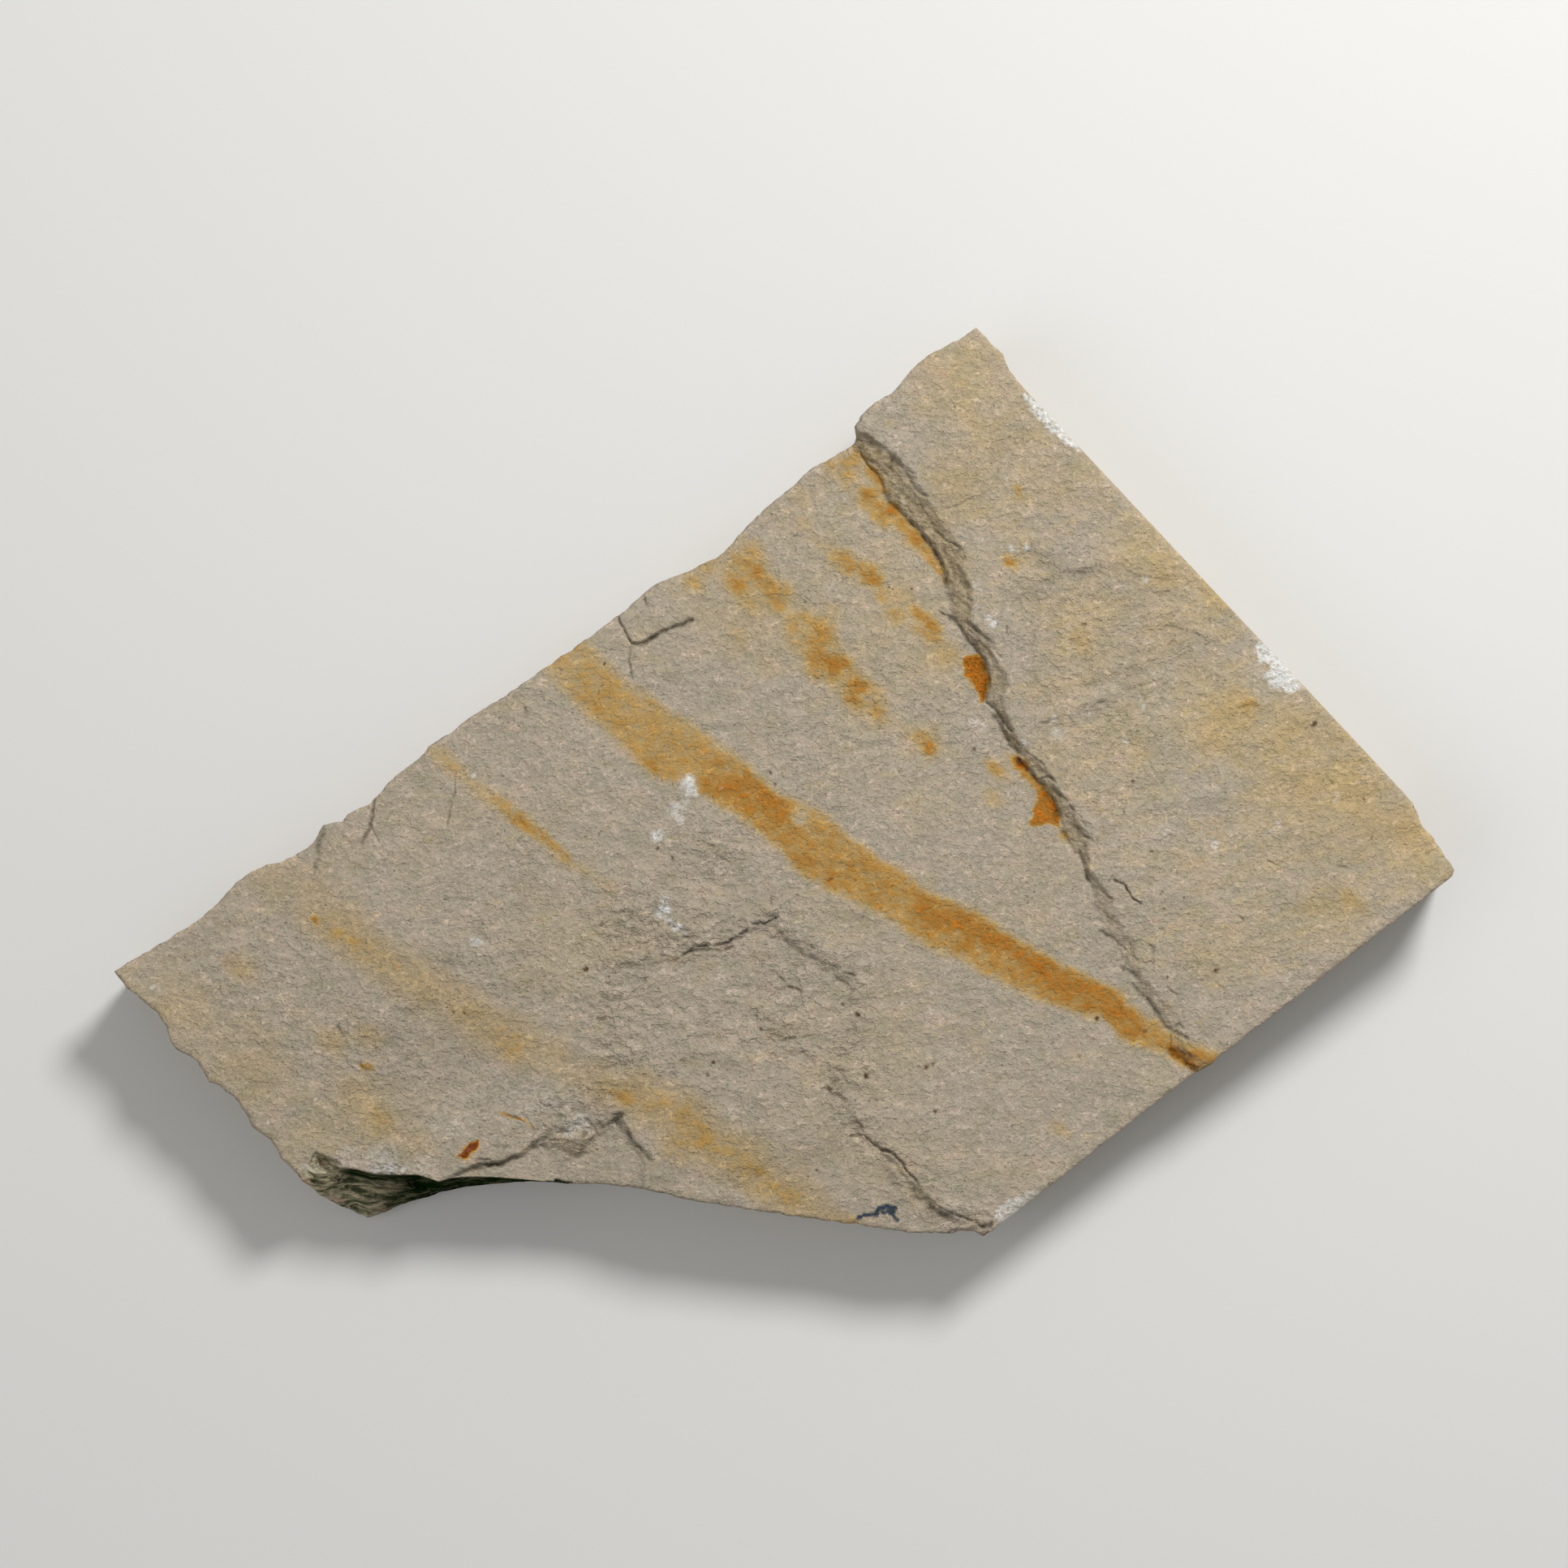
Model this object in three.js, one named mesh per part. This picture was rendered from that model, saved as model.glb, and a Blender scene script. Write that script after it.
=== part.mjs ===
// A limestone fossil slab: one flat piece of platy limestone, broken on three sides and sawn on two.
// Millimetres, +Z up. It lies on its flat underside, at z = 0, and the origin is the centre of its
// footprint. X runs along the slab from its pointed left tip to its right corner.

import * as THREE from "three";
import { ImprovedNoise } from "three/addons/math/ImprovedNoise.js";

// Driving dimensions
const LENGTH = 132.2; // along X, from tip to corner
const THICKNESS = 9.5; // from the underside to the main bedding surface
const TERRACE_RISE = 1.9; // step up to the right-hand layer, at the upper end of its ledge
const TERRACE_RISE_END = 0.9; // the same step at the lower end of the ledge
const FLAKE_DEPTH = 0.45; // shallow flake scar in the middle
const CHIP_DEPTH = 1.1; // chip below it, one layer further down
const LIFTED_FLAKE_RISE = 0.2; // cracked flake on the upper rim
const BROKEN_FOOT = 1.6; // height of the foot of the sloping broken corner
const BROKEN_LEAN = 1.1; // how far a broken wall leans in from the rim to the base
const LEDGE_DEPTH = 0.8; // depth of the bedding ledges in a broken wall
const ARRIS = 0.25; // bevel where a wall meets the underside

// Spacing of the mesh points
const RIM_SPACING = 1.5;
const LEDGE_SPACING = 1.25;
const SURFACE_SPACING = 2.05;

// Layers of the stone that show in its walls, from the top down, as shares of the height. A narrow ledge
// leads from the low end of each to the top of the next.
const LAYERS = [
  { top: 1, low: 0.84 },
  { top: 0.81, low: 0.56 },
  { top: 0.52, low: 0.24 },
  { top: 0.2, low: 0.03 },
];

// Plan points are drawn on a square grid, x to the right and y down, and turned into millimetres by the
// slab's length.
const GRID_LEFT = 140;
const GRID_RIGHT = 1792;
const GRID_TOP = 403.5;
const GRID_BOTTOM = 1524;
const GRID_STEP = LENGTH / (GRID_RIGHT - GRID_LEFT);

// Outline, clockwise on the plan from the left tip
const UPPER_EDGE = [
  [140, 1197], [161, 1183], [200, 1160], [240, 1135], [268, 1112], [279, 1097], [300, 1078], [327, 1065],
  [345, 1062], [370, 1049], [385, 1038], [397, 1015.5], [420, 1011], [428, 1003],
  [456, 988], [472, 971], [480, 960], [512, 937], [528, 919], [560, 898], [581, 881], [620, 858],
  [679, 816], [739, 774], [781, 741], [804, 720], [820, 714], [852, 700], [881, 687], [891, 679],
  [905, 664], [925, 641], [935, 632], [975, 599], [997, 578], [1019, 566], [1048, 549], [1053, 538],
  [1052, 526], [1061, 510], [1077, 497], [1102, 481], [1129, 449], [1150, 434], [1188, 415], [1202, 403.5],
];
const UPPER_CORNER = [[1236, 438], [1244, 457], [1262, 481]];
const SAWN_RIGHT = [[1740, 989]];
const RIGHT_CORNER = [[1753, 1017], [1774, 1044], [1792, 1072], [1789, 1079]];
const SAWN_LOWER = [[1506, 1299]];
const LEDGE_NOTCH = [[1493, 1312], [1472, 1323], [1460, 1331]];
const SAWN_LOWER_END = [[1238, 1505]];
const LOWER_CORNER = [[1221, 1519], [1212, 1524], [1198, 1518], [1185, 1518]];
const LOWER_EDGE = [
  [1168, 1522], [1121, 1520], [1058, 1511], [999, 1503], [899, 1488], [846, 1479], [798, 1467],
  [739, 1460], [657, 1460], [566, 1469], [540, 1476], [484, 1493], [451, 1509],
];
const LEFT_EDGE = [
  [431, 1502], [388, 1476], [369, 1452], [345, 1427], [341, 1416], [309, 1388], [294, 1360], [270, 1338.5],
  [257, 1334], [243, 1310], [216, 1293], [208, 1282], [204, 1267], [192, 1248], [182, 1240], [168, 1229],
  [155, 1218],
];

// The ledge of the right-hand layer, from the upper rim to the lower one: its brink and its foot
const TERRACE_BRINK = [
  [1057, 527], [1076, 541], [1102, 560], [1122, 583], [1143, 615], [1165, 650], [1186, 680], [1192, 705],
  [1203, 745], [1198, 766], [1212, 781], [1228, 803], [1238, 822], [1244, 845], [1238, 868], [1245, 893],
  [1263, 919], [1286, 946], [1309, 974], [1325, 1002], [1343, 1033], [1341, 1059], [1345, 1078],
  [1370, 1107], [1372, 1128], [1400, 1160], [1407, 1205], [1430, 1224], [1449, 1251], [1456, 1266],
  [1451, 1279], [1481, 1306], [1499, 1306],
];
const TERRACE_FOOT = [
  [1050, 547], [1062, 563], [1085, 590], [1090, 610], [1112, 634], [1133, 655], [1155, 688], [1165, 722],
  [1172, 752], [1188, 785], [1206, 806], [1217, 830], [1214, 864], [1226, 876], [1243, 914], [1258, 937],
  [1278, 964], [1296, 984], [1305, 1010], [1319, 1038], [1336, 1071], [1349, 1103], [1355, 1140],
  [1378, 1170], [1399, 1205], [1414, 1232], [1437, 1262], [1446, 1280], [1453, 1299], [1470, 1322],
];

// Shallow flake scar: its clear edge runs over the apex and down the right, and its left side fades out
const FLAKE_EDGE = [
  [837, 1178], [857, 1168], [895, 1161], [925, 1142], [956, 1132], [968, 1147], [994, 1172], [1050, 1201],
  [1060, 1250], [1038, 1300], [1020, 1335], [1048, 1360], [1063, 1394], [1098, 1421], [1131, 1459],
  [1165, 1494], [1218, 1511],
];
const FLAKE_FADE = [[770, 1200], [765, 1240], [755, 1300], [745, 1350], [790, 1480]];

// The chip below the scar, its apex pointing up
const CHIP_EDGE = [
  [540, 1456], [562, 1445], [600, 1433], [640, 1422], [668, 1402], [690, 1400], [715, 1406], [740, 1390],
  [760, 1377], [770, 1392], [790, 1420], [797, 1432], [795, 1460],
];

// Upper edge of the sloping broken face at the lower left corner
const BROKEN_RIM = [
  [371, 1445], [383, 1429], [400, 1428], [420, 1438], [460, 1444], [500, 1447], [525, 1453], [556, 1456],
  [620, 1455], [700, 1459],
];
const BROKEN_OUTLINE = [
  [700, 1459.9], [657, 1460], [566, 1469], [540, 1476], [484, 1493], [451, 1509], [431, 1502], [388, 1476],
  [369, 1452],
];

// Cracked flake on the upper rim
const LIFTED_FLAKE = [
  [761, 759], [779, 793], [800, 788], [830, 773], [853, 763], [855, 735], [850, 718], [840, 704],
  [781, 741],
];

const plan = ([x, y]) => new THREE.Vector2(
  (x - (GRID_LEFT + GRID_RIGHT) / 2) * GRID_STEP,
  ((GRID_TOP + GRID_BOTTOM) / 2 - y) * GRID_STEP,
);
const planLine = (points) => points.map(plan);

const brink = planLine(TERRACE_BRINK);
const foot = planLine(TERRACE_FOOT);
const flakeEdge = planLine(FLAKE_EDGE);
const chipEdge = planLine(CHIP_EDGE);
const brokenRim = planLine(BROKEN_RIM);
const brokenOutline = planLine(BROKEN_OUTLINE);
const liftedFlake = planLine(LIFTED_FLAKE);
const flakeScar = planLine([...FLAKE_EDGE, [1230, 1560], ...FLAKE_FADE.toReversed()]);
const flakeFade = planLine(FLAKE_FADE);
const chip = planLine([...CHIP_EDGE, [790, 1560], [540, 1560]]);
const brokenFace = planLine([...BROKEN_RIM, ...BROKEN_OUTLINE]);
const BEYOND_RIGHT = [[1900, 1400], [1900, 300], [1040, 300]];
const aboveBrink = planLine([...TERRACE_BRINK, ...BEYOND_RIGHT]);
const aboveFoot = planLine([...TERRACE_FOOT, ...BEYOND_RIGHT]);

// Each kind of roughness reads its own slice of the noise
const noise = new ImprovedNoise();
const SLICE = {
  swell: 0.5, waver: 1.5, brokenLedge: 3.5, wallLedge: 5.5, ripple: 7.5, jitterX: 11.5, ridge: 13.5,
  jitterY: 23.5,
};

// Distance from a point to a line of points
function distanceTo(line, point) {
  const nearest = new THREE.Vector2();
  let distance = Infinity;
  for (let i = 1; i < line.length; i += 1) {
    const along = line[i].clone().sub(line[i - 1]);
    const share = point.clone().sub(line[i - 1]).dot(along) / along.lengthSq();
    nearest.copy(line[i - 1]).addScaledVector(along, THREE.MathUtils.clamp(share, 0, 1));
    distance = Math.min(distance, nearest.distanceTo(point));
  }
  return distance;
}

function isInside(polygon, point) {
  let inside = false;
  let last = polygon[polygon.length - 1];
  for (const next of polygon) {
    const crosses = (next.y > point.y) !== (last.y > point.y);
    if (crosses && point.x < last.x + (point.y - last.y) * (next.x - last.x) / (next.y - last.y)) {
      inside = !inside;
    }
    last = next;
  }
  return inside;
}

// 1 on the far line, 0 on the near line, and a straight slope between the two
function slopeBetween(nearLine, farLine, point) {
  const near = distanceTo(nearLine, point);
  const far = distanceTo(farLine, point);
  return near / Math.max(near + far, 1e-6);
}

// How much of the right-hand layer is left at a point: 1 on it, 0 on the main surface
function terraceShare(point) {
  if (isInside(aboveBrink, point)) return 1;
  if (!isInside(aboveFoot, point)) return 0;
  return slopeBetween(foot, brink, point);
}

function terraceHeight(point) {
  const upperEnd = brink[0].y;
  const lowerEnd = brink[brink.length - 1].y;
  const down = THREE.MathUtils.clamp((upperEnd - point.y) / (upperEnd - lowerEnd), 0, 1);
  return THREE.MathUtils.lerp(TERRACE_RISE, TERRACE_RISE_END, down) * terraceShare(point);
}

// The scar is deepest along its clear edge and runs out to nothing on its left
function flakeDepth(point) {
  const EDGE_WIDTH = 0.6;
  const FADE_WIDTH = 14;
  if (!isInside(flakeScar, point)) return 0;
  const edge = Math.min(distanceTo(flakeEdge, point) / EDGE_WIDTH, 1);
  const fade = Math.min(distanceTo(flakeFade, point) / FADE_WIDTH, 1);
  return FLAKE_DEPTH * edge * fade;
}

function chipDepth(point) {
  const EDGE_WIDTH = 1.2;
  if (!isInside(chip, point)) return 0;
  return CHIP_DEPTH * Math.min(distanceTo(chipEdge, point) / EDGE_WIDTH, 1);
}

function liftedFlakeHeight(point) {
  return isInside(liftedFlake, point) ? LIFTED_FLAKE_RISE : 0;
}

// Broad swells, short ripples that run along X, and ridges on the right-hand layer that climb to the right
function relief(point) {
  const SWELL = { height: 0.3, length: 17 };
  const RIPPLE = { height: 0.16, length: 5.5, width: 2.6 };
  const RIDGE = { height: 0.45, length: 13, width: 3.6, climb: THREE.MathUtils.degToRad(20) };
  const swell = noise.noise(point.x / SWELL.length, point.y / SWELL.length, SLICE.swell);
  const ripple = noise.noise(point.x / RIPPLE.length, point.y / RIPPLE.width, SLICE.ripple);
  const level = point.clone().rotateAround(new THREE.Vector2(), -RIDGE.climb);
  const ridge = noise.noise(level.x / RIDGE.length, level.y / RIDGE.width, SLICE.ridge);
  const onTerrace = RIDGE.height * ridge * terraceShare(point);
  return SWELL.height * swell + RIPPLE.height * ripple + onTerrace;
}

// Share of the way down the sloping broken corner: 0 outside it and on its rim, 1 at its foot
function brokenShare(point) {
  const END_TAPER = 6;
  const AT_FOOT = 0.35;
  const ends = [brokenOutline[0], brokenOutline[brokenOutline.length - 1]];
  const taper = Math.min(...ends.map((end) => end.distanceTo(point) / END_TAPER), 1);
  if (distanceTo(brokenOutline, point) < AT_FOOT) return taper;
  if (!isInside(brokenFace, point)) return 0;
  return slopeBetween(brokenRim, brokenOutline, point) * taper;
}

// Ledges that run along the sloping broken corner, strongest half way down
function brokenLedge(point, share) {
  const LEDGE = { height: 3.2, length: 4.5, width: 1.4 };
  const ledge = noise.noise(point.x / LEDGE.length, point.y / LEDGE.width, SLICE.brokenLedge);
  return LEDGE.height * ledge * share * (1 - share);
}

function surfaceHeight(point) {
  const layers = terraceHeight(point) - flakeDepth(point) - chipDepth(point) + liftedFlakeHeight(point);
  const height = THICKNESS + layers + relief(point);
  const share = brokenShare(point);
  return THREE.MathUtils.lerp(height, BROKEN_FOOT, share) + brokenLedge(point, share);
}

// Points along a line, evenly spaced between its corners. A rough line wavers a little between them.
function walk(line, spacing, roughness) {
  const points = [];
  for (let i = 1; i < line.length; i += 1) {
    const along = line[i].clone().sub(line[i - 1]);
    const steps = Math.max(1, Math.round(along.length() / spacing));
    const across = new THREE.Vector2(-along.y, along.x).normalize();
    for (let step = 0; step < steps; step += 1) {
      const point = line[i - 1].clone().addScaledVector(along, step / steps);
      const waver = step === 0 ? 0 : roughness * noise.noise(point.x, point.y, SLICE.waver);
      points.push(point.addScaledVector(across, waver));
    }
  }
  return points;
}

// The rim of the slab as evenly spaced points, each one marked as broken or sawn
function makeRim() {
  const ROUGHNESS = 0.35;
  const sides = [
    { points: UPPER_EDGE, broken: true },
    { points: UPPER_CORNER, broken: true },
    { points: SAWN_RIGHT, broken: false },
    { points: RIGHT_CORNER, broken: true },
    { points: SAWN_LOWER, broken: false },
    { points: LEDGE_NOTCH, broken: true },
    { points: SAWN_LOWER_END, broken: false },
    { points: LOWER_CORNER, broken: true },
    { points: LOWER_EDGE, broken: true },
    { points: LEFT_EDGE, broken: true },
  ];
  const rim = [];
  let start = null;
  for (const side of sides) {
    const line = planLine(start ? [start, ...side.points] : side.points);
    for (const point of walk(line, RIM_SPACING, side.broken ? ROUGHNESS : 0)) {
      rim.push({ point, broken: side.broken ? 1 : 0 });
    }
    start = side.points[side.points.length - 1];
  }
  const closing = planLine([start, UPPER_EDGE[0]]);
  for (const point of walk(closing, RIM_SPACING, ROUGHNESS)) rim.push({ point, broken: 1 });
  return rim;
}

// Direction straight into the slab at each rim point, averaged over its neighbours
function inwardDirections(rim) {
  const REACH = 3;
  return rim.map((_, i) => {
    const before = rim.at(i - REACH).point;
    const after = rim[(i + REACH) % rim.length].point;
    const along = after.clone().sub(before);
    return new THREE.Vector2(along.y, -along.x).normalize();
  });
}

// How broken the wall is at each rim point, eased over its neighbours so that a sawn wall starts softly
function brokenness(rim) {
  const REACH = 2;
  return rim.map((_, i) => {
    let least = 1;
    for (let k = -REACH; k <= REACH; k += 1) {
      const spread = Math.abs(k) / (REACH + 1);
      least = Math.min(least, Math.max(rim.at((i + k) % rim.length).broken, spread));
    }
    return least;
  });
}

// Points of the top surface along its ledges, inside the rim and clear of it
function ledgePoints(outline) {
  const CLEAR_OF_RIM = 0.8;
  const CLEAR_OF_EACH_OTHER = 0.55;
  const ROUGHNESS = 0.2;
  const closedOutline = [...outline, outline[0]];
  const kept = [];
  for (const line of [brink, foot, flakeEdge, chipEdge, brokenRim]) {
    for (const point of walk(line, LEDGE_SPACING, ROUGHNESS)) {
      const offRim = isInside(outline, point) && distanceTo(closedOutline, point) > CLEAR_OF_RIM;
      const clear = kept.every((other) => other.distanceTo(point) > CLEAR_OF_EACH_OTHER);
      if (offRim && clear) kept.push(point);
    }
  }
  return kept;
}

// A loose triangular grid of points between the ledges and the rim
function betweenPoints(outline, onLedges) {
  const CLEAR_OF_RIM = 1.0;
  const CLEAR_OF_LEDGE = 0.95;
  const JITTER = { reach: 1.5, perX: 1.7, perRow: 1.3 };
  const closedOutline = [...outline, outline[0]];
  const kept = [];
  const box = new THREE.Box2().setFromPoints(outline);
  const rowHeight = SURFACE_SPACING * Math.sqrt(3) / 2;
  for (let row = 0; box.min.y + row * rowHeight < box.max.y; row += 1) {
    const shift = (row % 2) * SURFACE_SPACING / 2;
    for (let x = box.min.x + shift; x < box.max.x; x += SURFACE_SPACING) {
      const point = new THREE.Vector2(x, box.min.y + row * rowHeight);
      point.x += JITTER.reach * noise.noise(x * JITTER.perX, row * JITTER.perRow, SLICE.jitterX);
      point.y += JITTER.reach * noise.noise(x * JITTER.perX, row * JITTER.perRow, SLICE.jitterY);
      const offRim = isInside(outline, point) && distanceTo(closedOutline, point) > CLEAR_OF_RIM;
      const clear = onLedges.every((other) => other.distanceTo(point) > CLEAR_OF_LEDGE);
      if (offRim && clear) kept.push(point);
    }
  }
  return kept;
}

function circleThrough(a, b, c) {
  const turn = 2 * (a.x * (b.y - c.y) + b.x * (c.y - a.y) + c.x * (a.y - b.y));
  const aSquare = a.lengthSq();
  const bSquare = b.lengthSq();
  const cSquare = c.lengthSq();
  const centre = new THREE.Vector2(
    (aSquare * (b.y - c.y) + bSquare * (c.y - a.y) + cSquare * (a.y - b.y)) / turn,
    (aSquare * (c.x - b.x) + bSquare * (a.x - c.x) + cSquare * (b.x - a.x)) / turn,
  );
  return { centre, radius: centre.distanceTo(a) };
}

// Delaunay triangles of a set of points, added one at a time, as index triples that turn anticlockwise
function triangulate(points) {
  const FAR = 1000;
  const corners = [[-FAR, -FAR], [FAR, -FAR], [0, FAR * 2]].map(([x, y]) => new THREE.Vector2(x, y));
  const all = [...points, ...corners];
  const first = points.length;
  const makeTriangle = (a, b, c) => ({ ids: [a, b, c], circle: circleThrough(all[a], all[b], all[c]) });
  let triangles = [makeTriangle(first, first + 1, first + 2)];
  points.forEach((point, index) => {
    const edges = new Map();
    const kept = [];
    for (const triangle of triangles) {
      if (triangle.circle.centre.distanceTo(point) >= triangle.circle.radius) {
        kept.push(triangle);
        continue;
      }
      triangle.ids.forEach((from, k) => {
        const to = triangle.ids[(k + 1) % 3];
        if (!edges.delete(`${to},${from}`)) edges.set(`${from},${to}`, [from, to]);
      });
    }
    for (const [from, to] of edges.values()) kept.push(makeTriangle(from, to, index));
    triangles = kept;
  });
  return triangles.map(({ ids }) => ids).filter((ids) => ids.every((id) => id < points.length));
}

// How far a wall point stands in from the rim: broken layers lean in and step, and a sawn wall is plain
function wallInset(share, layer, broken, i) {
  const LEDGE = { perPoint: 0.17, perLayer: 2.3, middle: 0.5 };
  const ledge = noise.noise(i * LEDGE.perPoint, layer * LEDGE.perLayer, SLICE.wallLedge) + LEDGE.middle;
  return (ledge * LEDGE_DEPTH + BROKEN_LEAN * (1 - share)) * broken;
}

// The walls as rings of points below the rim, two for each layer, and a last one round the underside
function wallRings(rim, rimHeights) {
  const inward = inwardDirections(rim);
  const broken = brokenness(rim);
  const makeRing = (share, layer, extra) => rim.map(({ point }, i) => {
    const inset = wallInset(share, layer, broken[i], i) + extra;
    const moved = point.clone().addScaledVector(inward[i], inset);
    return [moved.x, moved.y, rimHeights[i] * share];
  });
  const rings = LAYERS.flatMap(({ top, low }, layer) => [
    makeRing(top, layer, 0),
    makeRing(low, layer, 0),
  ]);
  const last = LAYERS.length - 1;
  return [...rings.slice(1), makeRing(0, last, ARRIS)];
}

function makeSlabGeometry() {
  const rim = makeRim();
  const outline = rim.map(({ point }) => point);
  const count = rim.length;
  const onLedges = ledgePoints(outline);
  const points = [...outline, ...onLedges, ...betweenPoints(outline, onLedges)];
  const positions = points.map((point) => [point.x, point.y, surfaceHeight(point)]);
  const faces = [];

  // Top surface
  for (const [a, b, c] of triangulate(points)) {
    const middle = points[a].clone().add(points[b]).add(points[c]).divideScalar(3);
    if (isInside(outline, middle)) faces.push([a, b, c]);
  }

  // Walls
  const rimHeights = positions.slice(0, count).map(([, , z]) => z);
  let above = 0;
  for (const ring of wallRings(rim, rimHeights)) {
    const start = positions.length;
    positions.push(...ring);
    for (let i = 0; i < count; i += 1) {
      const next = (i + 1) % count;
      faces.push([above + i, above + next, start + i]);
      faces.push([above + next, start + next, start + i]);
    }
    above = start;
  }

  // Underside, one flat face
  const base = positions.slice(above).map(([x, y]) => new THREE.Vector2(x, y));
  for (const [a, b, c] of THREE.ShapeUtils.triangulateShape(base, [])) {
    faces.push([above + c, above + b, above + a]);
  }

  const geometry = new THREE.BufferGeometry();
  geometry.setAttribute("position", new THREE.Float32BufferAttribute(positions.flat(), 3));
  geometry.setIndex(faces.flat());
  geometry.computeVertexNormals();
  return geometry;
}

const stone = new THREE.MeshStandardMaterial({ color: 0xa3947b, roughness: 0.95, metalness: 0 });

function makeSlab() {
  const slab = new THREE.Mesh(makeSlabGeometry(), stone);
  slab.name = "slab";
  return slab;
}

const fossilSlab = new THREE.Group();
fossilSlab.add(makeSlab());

export default fossilSlab;
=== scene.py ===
"""Looks of a limestone fossil slab: one fine mesh in place of the faceted solid, with its procedural stone.

Plan points are drawn on the same square grid as the solid's, x to the right and y down. Lengths are in
millimetres until the mesh is written, in metres, in the row frame.
"""

import math
import bpy
import numpy as np
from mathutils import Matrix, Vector
from mathutils.geometry import delaunay_2d_cdt
from mathutils.kdtree import KDTree


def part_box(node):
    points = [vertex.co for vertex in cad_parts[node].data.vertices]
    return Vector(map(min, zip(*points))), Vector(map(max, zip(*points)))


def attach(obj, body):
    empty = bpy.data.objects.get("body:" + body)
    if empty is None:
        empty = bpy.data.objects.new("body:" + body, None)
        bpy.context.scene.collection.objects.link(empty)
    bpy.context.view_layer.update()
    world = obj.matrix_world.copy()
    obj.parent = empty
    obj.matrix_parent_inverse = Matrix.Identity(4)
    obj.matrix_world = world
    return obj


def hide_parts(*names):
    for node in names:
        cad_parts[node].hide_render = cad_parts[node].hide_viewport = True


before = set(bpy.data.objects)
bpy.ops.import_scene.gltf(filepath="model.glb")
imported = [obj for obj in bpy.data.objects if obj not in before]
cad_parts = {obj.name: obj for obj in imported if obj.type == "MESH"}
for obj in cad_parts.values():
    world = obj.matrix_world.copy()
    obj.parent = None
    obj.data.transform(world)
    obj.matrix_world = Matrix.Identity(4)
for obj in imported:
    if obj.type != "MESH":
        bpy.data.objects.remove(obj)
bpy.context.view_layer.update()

LOW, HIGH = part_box("slab")
MM = 0.001

# ---------------------------------------------------------------- the plan grid

GRID_LEFT, GRID_RIGHT = 140, 1792
GRID_TOP, GRID_BOTTOM = 403.5, 1524
GRID_STEP = (HIGH.x - LOW.x) / MM / (GRID_RIGHT - GRID_LEFT)

# ---------------------------------------------------------------- heights and depths in mm

THICKNESS = 9.5
UNDER_THE_LIMIT = 0.02
TOP_LIMIT = HIGH.z / MM - UNDER_THE_LIMIT
TERRACE_RISE, TERRACE_RISE_END = 1.9, 0.9
TERRACE_FEATHER = 7
FLAKE_DEPTH, FLAKE_LIP, FLAKE_REACH = 0.45, 0.6, 14
CHIP_DEPTH, CHIP_WALL = 0.7, 0.35
CRUSHED_SLOPE, CRUSHED_REACH = 1.6, 2.4
LIFTED_FLAKE_RISE, LIFTED_FLAKE_FALL = 0.2, (7, 0.4)
SCALE_HEIGHT = 0.42
RIPPLE_HEIGHT, STREAK_HEIGHT = 0.10, 0.045
BROKEN_FOOT = 1.6
CORNER_DROP, CORNER_TAPER = 0.26, 6
BROKEN_LEAN = 1.1
LEDGE_DEPTH, LEDGE_WEAR = 0.8, 0.9
# Shares of the height at which a new layer of the stone begins in the broken walls
LAYERS = (0.84, 0.56, 0.24)
ARRIS = 0.25
RIM_WEAR, RIM_WEAR_DEPTH = 0.14, 0.9

# ---------------------------------------------------------------- mesh spacing in mm

RIM_SPACING = 0.4
FINE = 0.21
COARSE_EVERY = 2
MESH_JITTER, JITTER_FREQUENCY, JITTER_SEEDS = 0.05, 9, (121, 122)
STROKE_STEP = 0.2
THIN_STROKE = 0.3
# Rows of mesh points beside a thin stroke, in half widths, and along the rim of the broken corner
STROKE_ROWS = (0, -1.1, 1.1, -2.1, 2.1)
CORNER_SPACING, CORNER_ROWS = 0.16, (0.09, 0, -0.07, -0.15, -0.25, -0.38)
STROKE_GAP, STROKE_TO_RIM, STROKE_TO_GRID = 0.07, 0.12, 0.11
GRID_TO_RIM, COARSE_TO_RIM, FINE_RIM_REACH = 0.14, 0.3, 0.75
BASE_SPACING, BASE_TO_RIM = 1.2, 0.5
WALL_ROWS = 22
FAR = 9.0
TOUCHING = 1e-7
# The largest white spots and stains that need the fine spacing, in grid steps, and how strong such a stain is
FINE_WHITE, FINE_STAIN, FINE_STAIN_STRENGTH = 13, 16, 0.4

# ---------------------------------------------------------------- noise in the mesh

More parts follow.
